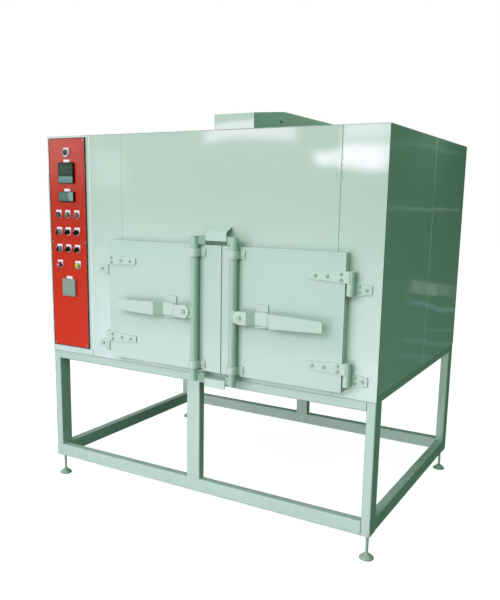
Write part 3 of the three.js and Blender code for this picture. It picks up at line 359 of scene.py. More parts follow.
@dataclass(frozen=True)
class Lens(Look):
    """Coloured clear plastic over a dark well, as on lamps and lit buttons, with painted highlight
    and painted shade.
    """

    # glow is the painted highlight colour; no light comes from it
    glow: str

    def sockets(self, b: Bench, where: Wire, tone: Shade) -> Sockets:
        """Painted highlight in the glow colour towards the upper left, painted shade in the deeper
        colour towards the rim and the lower right, and moulded facets.
        """
        facets = b.cells(where, 900.0)
        # Painted shade: darker at the rim, where the surface turns from the eye, and towards the
        # lower right; painted highlight towards the upper left.
        fresnel = b.node("LayerWeight", None, {"Blend": 0.35}, "Facing")
        across, _, up = b.parts(b.normal())
        depth = b.join("MAXIMUM", fresnel, b.step(across - up, -0.6, 0.9))
        return {
            "Base Color": b.between(shade(self.glow), tone, depth),
            "Normal": b.bump(facets, 0.25, 0.0004),
            "Roughness": 0.1 + 0.08 * facets, "Coat Weight": 0.6,
        }


@dataclass(frozen=True)
class Glass(Look):
    """A dark display window."""

    smears: str

    def sockets(self, b: Bench, where: Wire, tone: Shade) -> Sockets:
        """Smoked window with faint smears."""
        smear = b.step(b.noise(where, 70, 4, (1.0, 1.0, 3.0)), 0.45, 0.8)
        base = b.between(tone, shade(self.smears), smear * 0.35)
        normal = b.bump(smear, 0.02, 0.0002)
        return {"Base Color": base, "Roughness": 0.2 + 0.15 * smear, "Normal": normal}


@dataclass(frozen=True)
class Rubber(Look):
    """Soft rubber, as in the door seal, and the fillers whose colour is painted shade in the joints
    and gaps.
    """

    def sockets(self, b: Bench, where: Wire, tone: Shade) -> Sockets:
        """Matt rubber with talc and pressing marks."""
        talc = b.step(b.noise(where, 60, 6), 0.48, 0.8)
        base = b.between(tone, shade("8a8378"), talc * 0.4)
        normal = b.bump(b.noise(where, 900, 3), 0.15, 0.0004)
        return {"Base Color": base, "Roughness": 0.72 + 0.15 * talc, "Normal": normal}


class Finish(Enum):
    """The finishes on the oven."""

    # MINT, MINT_DOOR and RED carry painted light: a lighter tone towards the bottom.
    MINT = Enamel("mint_enamel", "aabbb0", gloss=0.03, sheet_wave=1.0, painted_light_low_tone="c0cfcc")
    MINT_DOOR = Enamel(
        "mint_enamel_on_doors", "abbfb5", gloss=0.06, sheet_wave=0.7, painted_light_low_tone="aec1b9",
    )
    MINT_GEAR = Enamel("mint_enamel_on_gear", "b1c4ba", wear=0.35)
    # Painted shade: a darker copy of the mint for the bars and guide bolts, standing in for their
    # shading.
    SHADED_MINT_BAR = Enamel("shaded_mint_enamel_on_bars", "9db6a7", wear=0.4)
    # Painted shade: a darker copy of the door mint, so the bolt heads read as dark dots.
    SHADED_MINT_BOLT = Enamel("shaded_mint_enamel_on_bolts", "96ae9f", gloss=0.25, wear=0.6)
    MINT_STAND = Enamel("mint_enamel_on_stand", "a9beb6", wear=0.12, grime=0.06, sheet_wave=0.2)
    # Painted shade: a darker copy of the stand's mint for the feet.
    SHADED_MINT_FOOT = Enamel("shaded_mint_enamel_on_feet", "8da598", gloss=0.3, wear=0.4, grime=0.2)
    # Painted highlight: pale strips laid on joints and edges.
    SEALANT = Plastic("painted_highlight_strip", "cfdcd4", roughness=0.3)
    RED = Enamel(
        "red_enamel", "a81f05", grime=0.1, sheet_wave=0.5, shine=0.25, painted_light_low_tone="bf2303",
    )
    LINER = Metal("brushed_liner", "b9bcbc")
    WIRE = Metal("shelf_wire", "b0b3b2", roughness=0.28, grain=(900.0, 40.0, 900.0))
    ZINC = Metal(
        "zinc_plated_steel", "c3c8be", roughness=0.36, grain=(300.0, 300.0, 500.0), tarnish=0.4,
    )
    CHROME = Metal(
        "chrome_ring", "d6d8da", roughness=0.12, grain=(200.0, 200.0, 200.0), tarnish=0.1,
    )
    MOTOR = Enamel("grey_motor_enamel", "4c5a55", gloss=0.42, wear=0.4)
    SEAL = Rubber("silicone_cord", "2f2c29")
    # Painted shade: fillers coloured as the shade in the joints and gaps.
    JOINT = Rubber("shade_coloured_filler", "74917f")
    SHADE_FILLER_PALE = Rubber("pale_shade_coloured_filler", "9fb5aa")
    BLACK = Plastic("moulded_black_plastic", "101113", shine=0.15)
    GREY = Plastic("moulded_grey_plastic", "76867a", roughness=0.42)
    PALE = Plastic("lilac_grey_plastic", "93a0b4", roughness=0.4)
    TIMER_KEYS = Plastic("timer_key_plastic", "6d918b", roughness=0.4)
    KEYPAD = Plastic("keypad_plastic", "5c7c7c", roughness=0.45)
    BLUE_GREY = Plastic("blue_grey_plastic", "77879a", roughness=0.35)
    KNOB_GREEN = Plastic("dark_green_plastic", "46604f", roughness=0.36, shine=0.25)
    WHITE = Plastic("white_plastic", "d6d2dc", roughness=0.34, texture=0.03)
    DIGITS = Plastic("unlit_digits", "1d3c2d", roughness=0.3)
    # The second colour of each lens is its painted highlight.
    BUTTON_MAGENTA = Lens("magenta_button", "7d1238", "c02a5c")
    BUTTON_GREEN = Lens("green_button", "5f9a26", "a9d24d")
    LAMP_MAROON = Lens("maroon_lamp", "1c080c", "4a2028")
    LAMP_GREEN = Lens("green_lamp", "4a1c30", "5a7a48")
    LAMP_AMBER = Lens("amber_lamp", "3a1848", "8a6420")
    DISPLAY = Glass("display_window", "183024", "2c5540")
    TIMER_WINDOW = Glass("timer_window", "3f6258", "6f8f86")

    @functools.cache
    def material(self) -> bpy.types.Material:
        """The finish as a material, made once."""
        return self.value.build()


# ---- mesh tools

Coats = dict[str, tuple[Finish, float]]  # a finish and an edge's rounding, by pattern of name

BOLT_HEAD: Profile = (
    (7.0, -0.3), (7.0, 1.4), (6.2, 3.8), (5.0, 4.8), (3.6, 5.2), (3.2, 4.7), (0, 4.7),
)
HOUSING_PLUG: Profile = ((5.6, -0.3), (5.6, 1.0), (4.8, 1.9), (2.6, 2.3), (0, 2.4))
GLAND_NUT: Profile = ((19.5, -0.3), (19.5, 5.5), (18.2, 6.6), (16.4, 6.8), (16.4, 3.0))
DEVICE_RING: Profile = (
    (15.0, 6.0), (15.0, 11.6), (13.9, 13.3), (12.3, 13.4), (11.3, 12.6), (11.3, 8.0),
)
SWITCH_RING: Profile = (
    (21.5, 5.8), (21.5, 12.0), (20.6, 13.3), (18.5, 13.6), (15.2, 13.2), (11.4, 13.1), (11.4, 9.0),
)
SWITCH_KNOB: Profile = (
    (14.6, 13.9), (14.6, 18.0), (13.6, 19.6), (11.8, 20.1), (4.5, 20.3), (0, 20.3),
)
LAMP_LENS: Profile = (
    (13.4, 13.1), (13.4, 17.0), (12.6, 18.8), (10.2, 20.4), (6.6, 21.5), (2.8, 22.0), (0, 22.1),
)
KNOB_SKIRT: Profile = (
    (12.2, 12.2), (12.2, 17.0), (11.4, 18.2), (10.6, 21.4), (9.6, 22.4), (6.0, 22.8), (0, 22.8),
)
LOW_CAP: Profile = (
    (10.8, 13.6), (10.8, 17.2), (10.0, 18.4), (7.6, 18.7), (4.0, 18.9), (0, 19.0),
)
TALL_CAP: Profile = (
    (10.8, 13.6), (10.8, 18.2), (13.4, 18.9), (13.4, 24.4), (12.5, 26.0), (9.6, 26.6),
    (5.4, 26.3), (4.8, 25.2), (0, 25.0),
)
# Painted highlight: a pale disc on the tall cap.
CAP_HIGHLIGHT: Profile = ((4.7, 24.8), (4.4, 25.7), (2.4, 26.2), (0, 26.3))


def pan_head(radius: float, height: float) -> Profile:
    """Profile of a domed screw head, sunk a little at its foot."""
    shares = ((1, 0.35), (0.86, 0.75), (0.6, 0.97), (0.5, 1), (0.25, 1), (0, 1))
    return [(radius, -0.4), *((radius * wide, height * tall) for wide, tall in shares)]


def dress_node(name: str, finish: Finish, edge: float) -> None:
    """Give a CAD node its finish and rounded edges.

    Args:
        name: The node's name.
        finish: What it is made of.
        edge: Width of the rounding in millimetres, or 0 for none.
    """
    node = frame["nodes"][name]
    node.data.materials.clear()
    node.data.materials.append(finish.material())
    weld = node.modifiers.new("weld", "WELD")
    weld.merge_threshold = 2e-5
    if edge:
        bevel = node.modifiers.new("rounded_edges", "BEVEL")
        bevel.width = edge * MM
        bevel.segments = 2
        bevel.limit_method = "ANGLE"
        bevel.angle_limit = ROUND_ABOVE
        bevel.use_clamp_overlap = True
        bevel.miter_outer = "MITER_ARC"
    flat = node.modifiers.new("even_faces", "WEIGHTED_NORMAL")
    flat.weight = 60
    flat.keep_sharp = False


def sheathe(mesh: Mesh, rings: Sequence[list[bmesh.types.BMVert]]) -> None:
    """Join each ring of points to the next with faces.

    Args:
        mesh: The mesh that they are in.
        rings: The rings, of one length or of a single point.
    """
    for near, far in zip(rings, rings[1:]):
        for k in range(max(len(near), len(far))):
            left, right = (k - 1) % len(near), (k - 1) % len(far)
            quad = near[left], near[k % len(near)], far[k % len(far)], far[right]
            mesh.faces.new(dict.fromkeys(quad))


@dataclass
class Mould:
    """A sub-assembly: dresses its CAD nodes, and makes pieces from drawing millimetres."""

    coats: ClassVar[Coats] = {}
    made: list[bpy.types.Object] = field(default_factory=list)

    def dress(self) -> None:
        """Give the CAD nodes their finishes and rounded edges."""
        for pattern, (finish, edge) in self.coats.items():
            for name in fnmatch.filter(frame["nodes"], pattern):
                dress_node(name, finish, edge)

    def build(self) -> None:
        """Make the pieces, where the sub-assembly has any of its own."""

    def piece(
        self, name: str, mesh: Mesh, finish: Finish, slot: str, body: str = "cabinet",
    ) -> bpy.types.Object:
        """Turn a mesh into a finished piece that rides on a body.

        Args:
            name: The piece's name.
            mesh: Its shape, in metres in the row frame.
            finish: What it is made of.
            slot: The record's material slot; not used.
            body: The CAD body that it moves with.

        Returns:
            The piece.
        """
        data = bpy.data.meshes.new(name)
        bmesh.ops.recalc_face_normals(mesh, faces=mesh.faces)
        mesh.to_mesh(data)
        mesh.free()
        data.shade_smooth()
        data.set_sharp_from_angle(angle=SMOOTH_BELOW)
        data.materials.append(finish.material())
        thing = bpy.data.objects.new(name, data)
        bpy.context.scene.collection.objects.link(thing)
        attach(thing, body)
        self.made.append(thing)
        return thing

    @staticmethod
    def tablet(
        x: float, z: float, size: Pair, depth: Pair, edge: Pair, steps: int = 4,
        low_corner: Optional[float] = None,
    ) -> Mesh:
        """A plate that faces the front, with round corners and a softened face edge.

        Args:
            x: Middle of the plate, across.
            z: Middle of the plate, up.
            size: Its width and height.
            depth: The y of its back and of its face.
            edge: Radius of the corners and width of the softened edge.
            steps: Facets in each corner.
            low_corner: Radius of the two lower corners, where it differs.

        Returns:
            The mesh.
        """
        mesh = bmesh.new()
        (width, height), (back, front), (corner, soften) = size, depth, edge
        upper = max(corner, soften * 1.2)
        lower = low_corner or upper

        def ring(inset: float, y: float) -> list[bmesh.types.BMVert]:
            """One closed run of points round the plate, an inset inside its outline."""
            points = []
            for quarter, (right, up) in enumerate(((1, 1), (-1, 1), (-1, -1), (1, -1))):
                radius = max((upper if up > 0 else lower) - inset, 0.05)
                half_w, half_h = width / 2 - inset - radius, height / 2 - inset - radius
                for k in range(steps + 1):
                    turn = math.pi / 2 * (quarter + k / steps)
                    u = x + right * half_w + radius * math.cos(turn)
                    v = z + up * half_h + radius * math.sin(turn)
                    points.append(mesh.verts.new(at(u, y, v)))
            return points

        rings = [
            ring(0, back), ring(0, front + soften), ring(soften * 0.3, front + soften * 0.3),
            ring(soften, front),
        ]
        sheathe(mesh, rings)
        mesh.faces.new(rings[-1])
        mesh.faces.new(list(reversed(rings[0])))
        return mesh

    @staticmethod
    def turned(
        centre: Vector, axis: Vector, profile: Profile, steps: int = 24, cross: float = 0.0,
    ) -> Mesh:
        """A turned shape: a profile swept round an axis.

        Args:
            centre: Where the axis starts, in metres.
            axis: The way out, of length 1.
            profile: The shape's section, from the rim inwards.
            steps: Facets round the axis.
            cross: Depth of a cross recess in the rings inside half the rim's radius.

        Returns:
            The mesh.
        """
        mesh = bmesh.new()
        side = axis.orthogonal().normalized()
        up = axis.cross(side)
        rim = max(radius for radius, _ in profile)
        quarter = steps // 4
        rings = []
        for radius, along in profile:
            ring = []
            for k in range(steps if radius else 1):
                turn = 2 * math.pi * k / steps
                in_arm = min(k % quarter, quarter - k % quarter) <= 1
                depth = cross if 0 < radius < 0.55 * rim and in_arm else 0.0
                reach = (side * math.cos(turn) + up * math.sin(turn)) * radius
                ring.append(mesh.verts.new(centre + reach * MM + axis * (along - depth) * MM))
            rings.append(ring)
        sheathe(mesh, rings)
        return mesh

    @staticmethod
    def bar(low: Point, high: Point, soften: float = 0.3) -> Mesh:
        """A straight bar with softened edges.

        Args:
            low: One corner.
            high: The corner across from it.
            soften: Width of the softened edges.

        Returns:
            The mesh.
        """
        mesh = bmesh.new()
        bmesh.ops.create_cube(mesh, size=1.0)
        near, far = at(*low), at(*high)
        for vertex in mesh.verts:
            vertex.co = Vector(
                (near[k] + far[k]) / 2 + vertex.co[k] * abs(far[k] - near[k]) for k in range(3)
            )
        bmesh.ops.bevel(
            mesh, geom=mesh.edges[:], offset=soften * MM, segments=2, affect="EDGES",
            clamp_overlap=True,
        )
        return mesh

    def disc(
        self, name: str, x: float, z: float, profile: Profile, steps: int,
        *look: Union[Finish, str],
    ) -> None:
        """A turned piece on the front; look is its finish, its slot and a body."""
        self.piece(name, self.turned(at(x, 0, z), OUT_FRONT, profile, steps), *look)

    def screw(
        self, name: str, seat: Vector, out: Vector, radius: float = 5.0,
        height: Optional[float] = None, finish: Finish = Finish.ZINC,
    ) -> None:
        """A pan head screw with a cross recess, half as high as its radius by default."""
        head = self.turned(seat, out, pan_head(radius, height or radius * 0.5), 24, 0.7)
        self.piece(name, head, finish, "zinc_plate")


# ---- sub-assemblies


@dataclass
class Stand(Mould):
    """Welded tube stand on levelling feet."""

    coats = {"stand_*": (Finish.MINT_STAND, 0.6), "foot_*": (Finish.SHADED_MINT_FOOT, 0.5)}


@dataclass
class Cabinet(Mould):
    """Folded skins, roof housing and back cover."""

    coats = dict.fromkeys(
        ("base_pan", "skin_*", "front_*", "back_*", "roof_panel", "duct_housing"),
        (Finish.MINT, 0.9),
    )
    half_width: float = 850.0
    depth: float = 1200.0
    roof: float = 1707.0
    seam: float = 667.0
    stand_top: float = 695.0
    side_seam_share: float = 0.525
    side_screw_rows: Pair = (91.0, 1155.0)
    bay_seam: float = -585.0
    bay_foot: float = 698.0
    lintel_seams: Pair = (-393.0, 668.0)
    lintel_foot: float = 1240.0
    rivet_line: float = 673.5
    rivets: Sequence[float] = (1585.5, 1560.0, 1534.5, 1512.5)
    back_cover: Sequence[float] = (-167.5, 452.5, 1200.0, 1620.0)  # left, right, low, high
    housing: Sequence[float] = (101.0, 288.0, 1.0, 871.0)  # left, right, front, back
    roof_screws: Sequence[float] = (-780.0, 312.0, 60.0)  # first, pitch, inset
    back_screws: Sequence[float] = (-800.0, 320.0, 22.0)
    cover_inset: float = 18.0
    plug: Pair = (235.0, 47.0)  # y, and the rise from the roof
    gland: Pair = (-730.0, 815.3)

    def build(self) -> None:
        """Add the screws that hold the skins and covers, and the strips along the joints that paint
        highlight and shade lines.
        """
        self.add_side_fixings()
        self.add_front_shade_lines()
        self.add_roof_fixings()
        self.add_back_fixings()

    def add_side_fixings(self) -> None:
        """Screws through the stand's upper side rails, and pale strips in the side skins' joints
        that are painted highlight lines.
        """
        foot, seam = self.stand_top, self.depth * self.side_seam_share
        for side, out in (("left", OUT_LEFT), ("right", OUT_RIGHT)):
            face = out.x * self.half_width
            sunk, proud = face - out.x * 0.6, face + out.x * 0.5
            for row, y in zip(("front", "rear"), self.side_screw_rows):
                self.screw(f"side_screw_{side}_{row}", at(face, y, foot - 20), out, 5.5)
            # Painted highlight: pale strips along the skin's lower edge and over the side seam.
            level = self.bar((sunk, 3.0, foot - 1.2), (proud, self.depth - 3, foot + 1.6))
            self.piece(f"side_painted_highlight_{side}", level, Finish.SEALANT, "mint_paint")
            low, high = (sunk, seam - 2.2, foot + 2), (proud, seam + 2.2, self.roof - 2)
            upright = self.bar(low, high, 0.25)
            self.piece(f"side_seam_painted_highlight_{side}", upright, Finish.SEALANT, "mint_paint")

    def add_front_shade_lines(self) -> None:
        """The dark strip under the front skins, which is painted shade, the seams filled in three
        tones as painted highlight and shade lines, and the rivets beside one.
        """
        edge = self.half_width - 3
        # Painted shade: a dark strip where the skins' lower edge casts its shadow line.
        joint = self.bar((-edge, 0.7, self.seam - 2.6), (edge, 2.6, self.seam + 0.2), 0.2)
        self.piece("front_shade_line", joint, Finish.JOINT, "seal_rubber")
        left, right = self.lintel_seams
        # Painted highlight and shade: the bay seam pale, the left lintel seam mid, the right one
        # dark.
        for name, x, low, finish in (
            ("bay", self.bay_seam, self.bay_foot, Finish.SEALANT),
            ("left", left, self.lintel_foot, Finish.SHADE_FILLER_PALE),
            ("right", right, self.lintel_foot, Finish.JOINT),
        ):
            filler = self.bar((x - 1.7, 0.2, low), (x + 1.7, 2.4, self.roof - 3), 0.2)
            self.piece(f"seam_painted_line_{name}", filler, finish, "seal_rubber")
        for index, z in enumerate(self.rivets, 1):
            seat = at(self.rivet_line, 0, z)
            self.screw(f"seam_rivet_{index}", seat, OUT_FRONT, 2.4, finish=Finish.GREY)

    def add_roof_fixings(self) -> None:
        """Screws round the roof, the housing's foot screws and the plug in its side."""
        left, right, front, back = self.housing
        first, pitch, inset = self.roof_screws
        for column in range(6):
            x = first + pitch * column
            under_housing = left < x < right
            for row, y in (("front", inset), ("rear", self.depth - inset)):
                if row == "rear" or not under_housing:
                    self.screw(f"roof_screw_{row}_{column + 1}", at(x, y, self.roof), OUT_UP)
        for side, out, x in (("left", OUT_LEFT, left), ("right", OUT_RIGHT, right)):
            for index in range(4):
                y = front + 90 + index * (back - front - 180) / 3
                self.screw(f"housing_screw_{side}_{index + 1}", at(x, y, self.roof + 14), out, 3.6)
        y, rise = self.plug
        plug = self.turned(at(right, y, self.roof + rise), OUT_RIGHT, HOUSING_PLUG)
        self.piece("housing_plug", plug, Finish.BLACK, "black_plastic")

    def add_back_fixings(self) -> None:
        """Screws round the back panel and its cover, and the cable gland's nut."""
        left, right, low, high = self.back_cover
        inset = self.cover_inset
        for column in range(4):
            x = left + inset + column * (right - left - 2 * inset) / 3
            for row, z in (("lower", low + inset), ("upper", high - inset)):
                seat = at(x, self.depth + 3.3, z)
                self.screw(f"cover_screw_{row}_{column + 1}", seat, OUT_BACK, 4.2)
        first, pitch, inset = self.back_screws
        for column in range(6):
            x = first + pitch * column
            for row, z in (("lower", self.stand_top + inset), ("upper", self.roof - inset)):
                self.screw(f"back_screw_{row}_{column + 1}", at(x, self.depth, z), OUT_BACK, 4.6)
        x, z = self.gland
        nut = self.turned(at(x, self.depth, z), OUT_BACK, GLAND_NUT, 6)
        self.piece("gland_nut", nut, Finish.BLACK, "black_plastic")


@dataclass
class Doors(Mould):
    """The two doors with their plugs and lift-off hinges."""

    coats = {
        "door_left": (Finish.MINT_DOOR, 1.2), "door_right": (Finish.MINT_DOOR, 1.2),
        "door_plug_*": (Finish.LINER, 1.0), "door_seal": (Finish.SEAL, 0.6),
        "hinge_*": (Finish.MINT_GEAR, 0.6),
    }
    meeting: float = 170.0
    height: Pair = (701.0, 1232.0)
    hinge_axes: Pair = (-455.0, 735.0)
    hinge_levels: Pair = (767.0, 1123.0)
    strap: Sequence[float] = (172.0, 46.0, -45.3)  # length, height and the front's y
    leaf: Sequence[float] = (77.0, 48.0, -6.3)
    leaf_drop: float = 48.3
    strap_bolts: Sequence[Pair] = ((0.19, 0.74), (0.19, 0.26), (0.52, 0.5), (0.81, 0.5))
    leaf_bolts: Sequence[Pair] = ((0.34, 0.78), (0.34, 0.28), (0.74, 0.5))

    def build(self) -> None:
        """Add the bolts of the hinges, and the rubber lip between the doors, whose green is painted
        shade in the gap.
        """
        long, tall, front = self.strap
        leaf_long, leaf_tall, leaf_front = self.leaf
        for side, sign, axis in zip(("left", "right"), (-1, 1), self.hinge_axes):
            for level, split in zip(("lower", "upper"), self.hinge_levels):
                for k, (along, up) in enumerate(self.strap_bolts, 1):
                    place = at(axis - sign * long * along, front, split + tall * up)
                    self.bolt(f"strap_bolt_{side}_{level}_{k}", place, f"door_{side}")
                foot = split - self.leaf_drop
                for k, (along, up) in enumerate(self.leaf_bolts, 1):
                    place = at(axis + sign * leaf_long * along, leaf_front, foot + leaf_tall * up)
                    self.bolt(f"leaf_bolt_{side}_{level}_{k}", place, "cabinet")
        low, high = self.height
        # Painted shade: a green lip fills the gap between the doors with the colour of its shade.
        lip = self.bar((self.meeting - 2.4, -37.0, low), (self.meeting + 1.9, -32.0, high), 0.8)
        self.piece("meeting_gap_shade", lip, Finish.JOINT, "seal_rubber", "door_left")

    def bolt(self, name: str, seat: Vector, body: str) -> None:
        """A domed bolt head over a CAD one, in a darker copy of the mint as painted shade."""
        head = self.turned(seat, OUT_FRONT, BOLT_HEAD)
        self.piece(name, head, Finish.SHADED_MINT_BOLT, "mint_paint", body)


@dataclass
class LockGear(Mould):
    """Lock bars, levers, guides and keepers."""

    coats = {
        "lock_bar_*": (Finish.SHADED_MINT_BAR, 0.8), "lock_lever_*": (Finish.MINT_GEAR, 0.8),
        "bar_guide_*": (Finish.MINT_GEAR, 0.6), "keeper_*": (Finish.MINT_GEAR, 0.6),
    }
    bar_axes: Pair = (47.0, 239.0)
    guide_levels: Pair = (723.0, 1206.0)
    guide_front: float = -45.3
    bolt_reach: float = 36.0

    def build(self) -> None:
        """Add the bolts of the bars' guides."""
        for side, axis in zip(("left", "right"), self.bar_axes):
            for level, z in zip(("lower", "upper"), self.guide_levels):
                for k, sign in enumerate((-1, 1), 1):
                    seat = at(axis + sign * self.bolt_reach, self.guide_front, z)
                    head = self.turned(seat, OUT_FRONT, pan_head(4.6, 2.2), 24, 0.5)
                    name = f"guide_bolt_{side}_{level}_{k}"
                    self.piece(name, head, Finish.SHADED_MINT_BAR, "mint_paint", f"door_{side}")


@dataclass
class Chamber(Mould):
    """Liner, air guide, shelves, fan and heaters."""

    coats = {
        "insulated_chamber": (Finish.LINER, 0.0), "air_guide": (Finish.LINER, 0.0),
        "shelf_*": (Finish.WIRE, 0.5), "fan_wheel": (Finish.LINER, 0.0),
        "fan_motor": (Finish.MOTOR, 0.8), "heater_bank": (Finish.WIRE, 0.0),
    }


@dataclass
class ControlPanel(Mould):
    """The red control panel and the devices on it."""

    coats = {
        "control_panel": (Finish.RED, 0.6), "temperature_controller": (Finish.BLACK, 0.6),
        "process_timer": (Finish.BLACK, 0.6), "switch_cover": (Finish.GREY, 0.9),
        "main_switch": (Finish.BLACK, 0.7), "selector_*": (Finish.BLACK, 0.0),
        "push_button_1": (Finish.BUTTON_MAGENTA, 0.7), "push_button_2": (Finish.BUTTON_GREEN, 0.7),
    }
    centre: float = -720.5
    pitch: float = 57.5
    half_width: float = 112.0
    bottom: float = 701.0
    top: float = 1695.0
    middle_screws: float = 1210.0
    face: float = -6.0
    plate_front: float = -8.0
    meter_face: float = -16.0
    knob_seat: float = -21.0
    knob_front: float = -31.0
    switch_z: float = 1632.0
    controller_z: float = 1537.0
    timer_z: float = 1427.0
    strips: Sequence[float] = (1592.0, 1457.0, 1040.0)
    lamp_row: float = 1341.0
    selector_rows: Pair = (1259.5, 1178.0)
    button_row: float = 1101.0
    plate: Pair = (32.0, 38.0)
    plate_lift: float = 3.0
    blue_selectors: Sequence[str] = ("selector_1", "selector_4")

    @property
    def columns(self) -> Sequence[float]:
        """Where the three columns of devices stand."""
        return self.centre - self.pitch, self.centre, self.centre + self.pitch

    def grid(self, kind: str, rows: Sequence[float]) -> dict[str, Pair]:
        """Places of numbered devices that fill the columns, row by row from the top."""
        places = [(x, z) for z in rows for x in self.columns]
        return {f"{kind}_{index}": place for index, place in enumerate(places, 1)}

    def build(self) -> None:
        """Add plates, rings, lenses, windows, keys and screws."""
        self.add_edging()
        self.add_plates()
        self.add_main_switch()
        self.add_lamps()
        self.add_knobs()
        self.add_buttons()
        self.add_meters()

    def edging(self) -> Mesh:
        """The shape of a dark frame that fills the gap round the panel as painted shade."""
        mesh, rings = bmesh.new(), []
        gap, wall, back, front = 2.9, 2.7, 6.0, -7.2
        middle = wall * 0.5, front - 0.4
        for inset, y in ((0, back), (0, front), middle, (wall, front), (wall, back)):
            reach = self.half_width + gap - inset
            left, right = self.centre - reach, self.centre + reach
            low, high = self.bottom - gap + inset, self.top + gap - inset
            corners = (left, low), (right, low), (right, high), (left, high)
            rings.append([mesh.verts.new(at(x, y, z)) for x, z in corners])
        sheathe(mesh, rings + rings[:1])
        return mesh

    def add_edging(self) -> None:
        """The dark frame round the panel, which is painted shade, and the panel's screws."""
        # Painted shade: a dark frame stands in for the shadow line round the panel.
        self.piece("panel_shade_frame", self.edging(), Finish.SEAL, "seal_rubber")
        rows = {"lower": self.bottom + 9, "middle": self.middle_screws, "upper": self.top - 9}
        for column, sign in (("left", -1), ("right", 1)):
            for row, z in rows.items():
                seat = at(self.centre + sign * (self.half_width - 8), self.face, z)
                self.screw(f"panel_screw_{column}_{row}", seat, OUT_FRONT, 4.2, 2.0)

    def white_plate(
        self, name: str, x: float, z: float, size: Pair, corner: float, *more: float,
    ) -> None:
        """A thin white plate on the panel; more is the tablet's steps and low corner."""
        plate = self.tablet(x, z, size, (self.face + 0.2, self.plate_front), (corner, 0.3), *more)
        self.piece(name, plate, Finish.WHITE, "grey_plastic")

    def add_plates(self) -> None:
        """White plates and bright rings behind the devices, and bare white strips."""
        left, _, right = self.columns
        width, height = self.plate
        devices = {
            **self.grid("lamp", [self.lamp_row]), **self.grid("selector", self.selector_rows),
            "button_1": (left, self.button_row), "button_2": (right, self.button_row),
        }
        for name, (x, z) in devices.items():
            size = width + 0.6, height + 0.6
            self.white_plate(f"{name}_plate", x, z + self.plate_lift, size, 1.2, 8, width / 2)
            finish = Finish.BLUE_GREY if name in self.blue_selectors else Finish.CHROME
            self.disc(f"{name}_ring", x, z, DEVICE_RING, 32, finish, "zinc_plate")
        for index, z in enumerate(self.strips, 1):
            self.white_plate(f"bare_strip_{index}", self.centre, z, (37, 13), 1.0)

    def add_main_switch(self) -> None:
        """The main switch's plate and ring, and its knob with a pointer line."""
        x, z, body = self.centre, self.switch_z, "main_switch"
        self.white_plate("main_switch_plate", x, z + 7.5, (35, 27), 1.2)
        self.disc("main_switch_ring", x, z, SWITCH_RING, 36, Finish.WHITE, "grey_plastic")
        self.disc(
            "main_switch_knob", x, z, SWITCH_KNOB, 36, Finish.KNOB_GREEN, "grey_plastic", body,
        )
        mark = self.tablet(x, z + 5.6, (1.6, 6.0), (-21.8, -22.25), (0.6, 0.15))
        self.piece("main_switch_mark", mark, Finish.WHITE, "grey_plastic", body)

    def add_lamps(self) -> None:
        """Lenses over the lamp bodies."""
        finishes = Finish.LAMP_MAROON, Finish.LAMP_GREEN, Finish.LAMP_AMBER
        for index, (x, finish) in enumerate(zip(self.columns, finishes), 1):
            name = f"lamp_lens_{index}"
            self.disc(name, x, self.lamp_row, LAMP_LENS, 28, finish, "green_plastic")

    def add_knobs(self) -> None:
        """Skirts, grips and pointer lines of the knobs, in the place of the CAD ones."""
        front, black = self.knob_front, "black_plastic"
        for name, (x, z) in self.grid("selector", self.selector_rows).items():
            finish = Finish.BLUE_GREY if name in self.blue_selectors else Finish.BLACK
            self.disc(f"{name}_skirt", x, z, KNOB_SKIRT, 32, finish, black, name)
            shape = self.tablet(x, z, (9.0, 23.0), (self.knob_seat, front), (4.2, 1.6), 5)
            grip = self.piece(f"{name}_grip", shape, Finish.BLACK, black, name)
            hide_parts(name)
            depth = front + 0.2, front - 0.25
            mark = self.tablet(x, z + 7.6, (1.6, 8.0), depth, (0.6, 0.15))
            mark_name = name.replace("selector", "selector_mark")
            self.piece(mark_name, mark, Finish.WHITE, "grey_plastic", name)

    def add_buttons(self) -> None:
        """Caps over the push buttons, the left one tall with a pale disc on top that is a painted
        highlight.
        """
        left, _, right = self.columns
        for index, x, profile, finish, slot in (
            (1, left, TALL_CAP, Finish.BUTTON_MAGENTA, "magenta_plastic"),
            (2, right, LOW_CAP, Finish.BUTTON_GREEN, "green_plastic"),
        ):
            cap, body = f"button_cap_{index}", f"push_button_{index}"
            self.disc(cap, x, self.button_row, profile, 28, finish, slot, body)
        # Painted highlight: the pale disc on the left cap.
        self.disc(
            "button_cap_1_highlight", left, self.button_row, CAP_HIGHLIGHT, 20, Finish.PALE, "grey_plastic",
            "push_button_1",
        )

